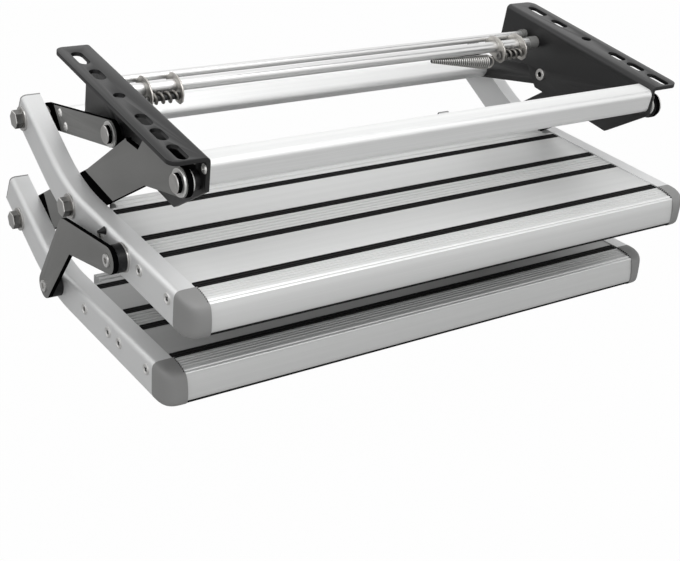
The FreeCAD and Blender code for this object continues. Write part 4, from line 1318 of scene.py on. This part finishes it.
class ENTRY_STEP_OT_screws(bpy.types.Operator):
    """Sets a recessed head on each rail screw"""

    bl_idname = "entry_step.screws"
    bl_label = "Rail screws"

    def execute(self, context):
        model = screw_head(context.scene.entry_step_form.screw_radius)
        for name in STEPS:
            heads = []
            for middle in shells(name + "_rail_screws"):
                side = math.copysign(1.0, middle.x)
                facing = math.radians(90.0 + 90.0 * side)
                head = copied(model)
                head.rotation_euler = (math.radians(SCREW_TURN), 0.0, facing)
                head.location = Vector((side * (RAIL_INNER + RAIL_W), middle.y, middle.z)) * MM
                heads.append(put_back(head))
            piece = settle(joined(heads), name + "_screw_heads", name + "_step", None)
            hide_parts(name + "_rail_screws")
        bpy.data.objects.remove(model)
        return {"FINISHED"}


# Camera, floor, lamps and sky

def camera_matrix():
    """The camera's place and turn, from the view's azimuth, elevation and roll."""
    a, e, r = (math.radians(angle) for angle in VIEW_ANGLES)
    back = Vector((math.sin(a) * math.cos(e), -math.cos(a) * math.cos(e), math.sin(e)))
    right = (-back).cross(Vector((0, 0, 1))).normalized()
    up = right.cross(-back)
    right_rolled = right * math.cos(r) + up * math.sin(r)
    up_rolled = up * math.cos(r) - right * math.sin(r)
    turn = Matrix((right_rolled, up_rolled, back)).transposed().to_4x4()
    return Matrix.Translation(Vector(CAMERA_AT) * MM) @ turn


def add_camera(scene):
    """The scene's camera, at the step's three-quarter view."""
    bpy.ops.object.camera_add()
    camera = bpy.context.object
    camera.matrix_world = camera_matrix()
    camera.data.lens = LENS
    camera.data.sensor_width = SENSOR
    scene.camera = camera


def add_floor(drop):
    """A wide floor under the step."""
    bpy.ops.mesh.primitive_plane_add(size=FLOOR_SIZE, location=(0.0, 0.0, -drop))
    floor = put_back(bpy.context.object)
    floor.name = "floor"
    floor.data.materials.append(floor_finish())


def add_lamp(name, at, aim, size, power):
    """A square lamp that faces its aim."""
    bpy.ops.object.light_add(type="AREA", location=at)
    lamp = bpy.context.object
    lamp.name = name
    lamp.data.size = size
    lamp.data.energy = power
    lamp.rotation_euler = (Vector(aim) - Vector(at)).to_track_quat("-Z", "Y").to_euler()


def add_card():
    """The dark card over the step."""
    card = block(CARD_LOW, CARD_HIGH)
    card.name = "dark card"
    card.data.materials.append(card_finish())


def white_ray(tree):
    """1 where a camera, mirror or clear ray looks, and 0 for light on surfaces."""
    path = tree.nodes.new("ShaderNodeLightPath")
    ways = ("Is Camera Ray", "Is Glossy Ray", "Is Transmission Ray")
    camera, mirror, clear = (Sock(tree, path.outputs[way]) for way in ways)
    return camera.at_least(mirror).at_least(clear)


def floor_finish():
    """Matt pale floor that shows as almost plain white but keeps a trace of the shadow."""
    f = Finish("pale floor")
    f.set(Base_Color=(0.5, 0.5, 0.5, 1.0), Roughness=0.9)
    lit = Sock(f.tree, f.shader.outputs[0])
    glow = add_node(f.tree, "ShaderNodeEmission", {}, {})
    seen = add_node(f.tree, "ShaderNodeLightPath", {}, {}, "Is Camera Ray")
    mixed = add_node(f.tree, "ShaderNodeMixShader", {}, {0: seen * FLOOR_WHITE, 1: lit, 2: glow})
    plug(f.tree, f.tree.nodes["Material Output"].inputs["Surface"], mixed)
    return f.material


def card_finish():
    """Plain matt black."""
    f = Finish("dark card")
    return f.set(Base_Color=(0.02, 0.02, 0.02, 1.0), Roughness=0.9)


def set_sky(scene, level):
    """White where it is seen, and even light of the given level on surfaces."""
    world = bpy.data.worlds.new("soft studio")
    scene.world = world
    world.use_nodes = True
    tree = world.node_tree
    light = tree.nodes["Background"]
    seen = white_ray(tree)
    plug(tree, light.inputs["Strength"], seen + (1.0 - seen) * level)
    light.inputs["Color"].default_value = (1.0, 1.0, 1.0, 1.0)


class ENTRY_STEP_OT_stage(bpy.types.Operator):
    """Adds the camera, the pale floor, the lamps, the dark card and the even sky"""

    bl_idname = "entry_step.stage"
    bl_label = "Set the stage"

    def execute(self, context):
        p = context.scene.entry_step_studio
        bpy.ops.object.select_all(action="DESELECT")
        add_camera(context.scene)
        add_floor(p.floor_drop)
        for name, at, aim, size, power in LAMPS:
            add_lamp(name, at, aim, size, getattr(p, power))
        add_card()
        set_sky(context.scene, p.sky)
        context.scene.view_settings.view_transform = "Standard"
        return {"FINISHED"}


# Panel and classes

class ENTRY_STEP_PT_panel(bpy.types.Panel):
    """Lists the step's sizes and colours, its pieces and its stage"""

    bl_label = "Entry Step"
    bl_idname = "ENTRY_STEP_PT_panel"
    bl_space_type = "VIEW_3D"
    bl_region_type = "UI"
    bl_category = "Entry Step"

    def draw(self, context):
        for name, group in GROUPS.items():
            box = self.layout.box()
            for key in group.__annotations__:
                box.prop(getattr(context.scene, name), key)
        for operator in OPERATORS:
            self.layout.operator(operator.bl_idname)


OPERATORS = (
    ENTRY_STEP_OT_finishes,
    ENTRY_STEP_OT_plates,
    ENTRY_STEP_OT_fasteners,
    ENTRY_STEP_OT_treads,
    ENTRY_STEP_OT_caps,
    ENTRY_STEP_OT_springs,
    ENTRY_STEP_OT_screws,
    ENTRY_STEP_OT_stage,
)
GROUPS = {
    "entry_step_colours": StepColours,
    "entry_step_form": StepForm,
    "entry_step_springs": StepSprings,
    "entry_step_studio": StepStudio,
}
CLASSES = (*GROUPS.values(), *OPERATORS, ENTRY_STEP_PT_panel)


def register():
    for item in CLASSES:
        bpy.utils.register_class(item)
    for name, group in GROUPS.items():
        setattr(bpy.types.Scene, name, bpy.props.PointerProperty(type=group))


def unregister():
    for name in GROUPS:
        delattr(bpy.types.Scene, name)
    for item in reversed(CLASSES):
        bpy.utils.unregister_class(item)


def main():
    register()
    bpy.ops.object.select_all(action="DESELECT")
    bpy.ops.entry_step.finishes()
    bpy.ops.entry_step.plates()
    bpy.ops.entry_step.fasteners()
    bpy.ops.entry_step.treads()
    bpy.ops.entry_step.caps()
    bpy.ops.entry_step.springs()
    bpy.ops.entry_step.screws()
    bpy.ops.entry_step.stage()


if __name__ == "__main__":
    main()
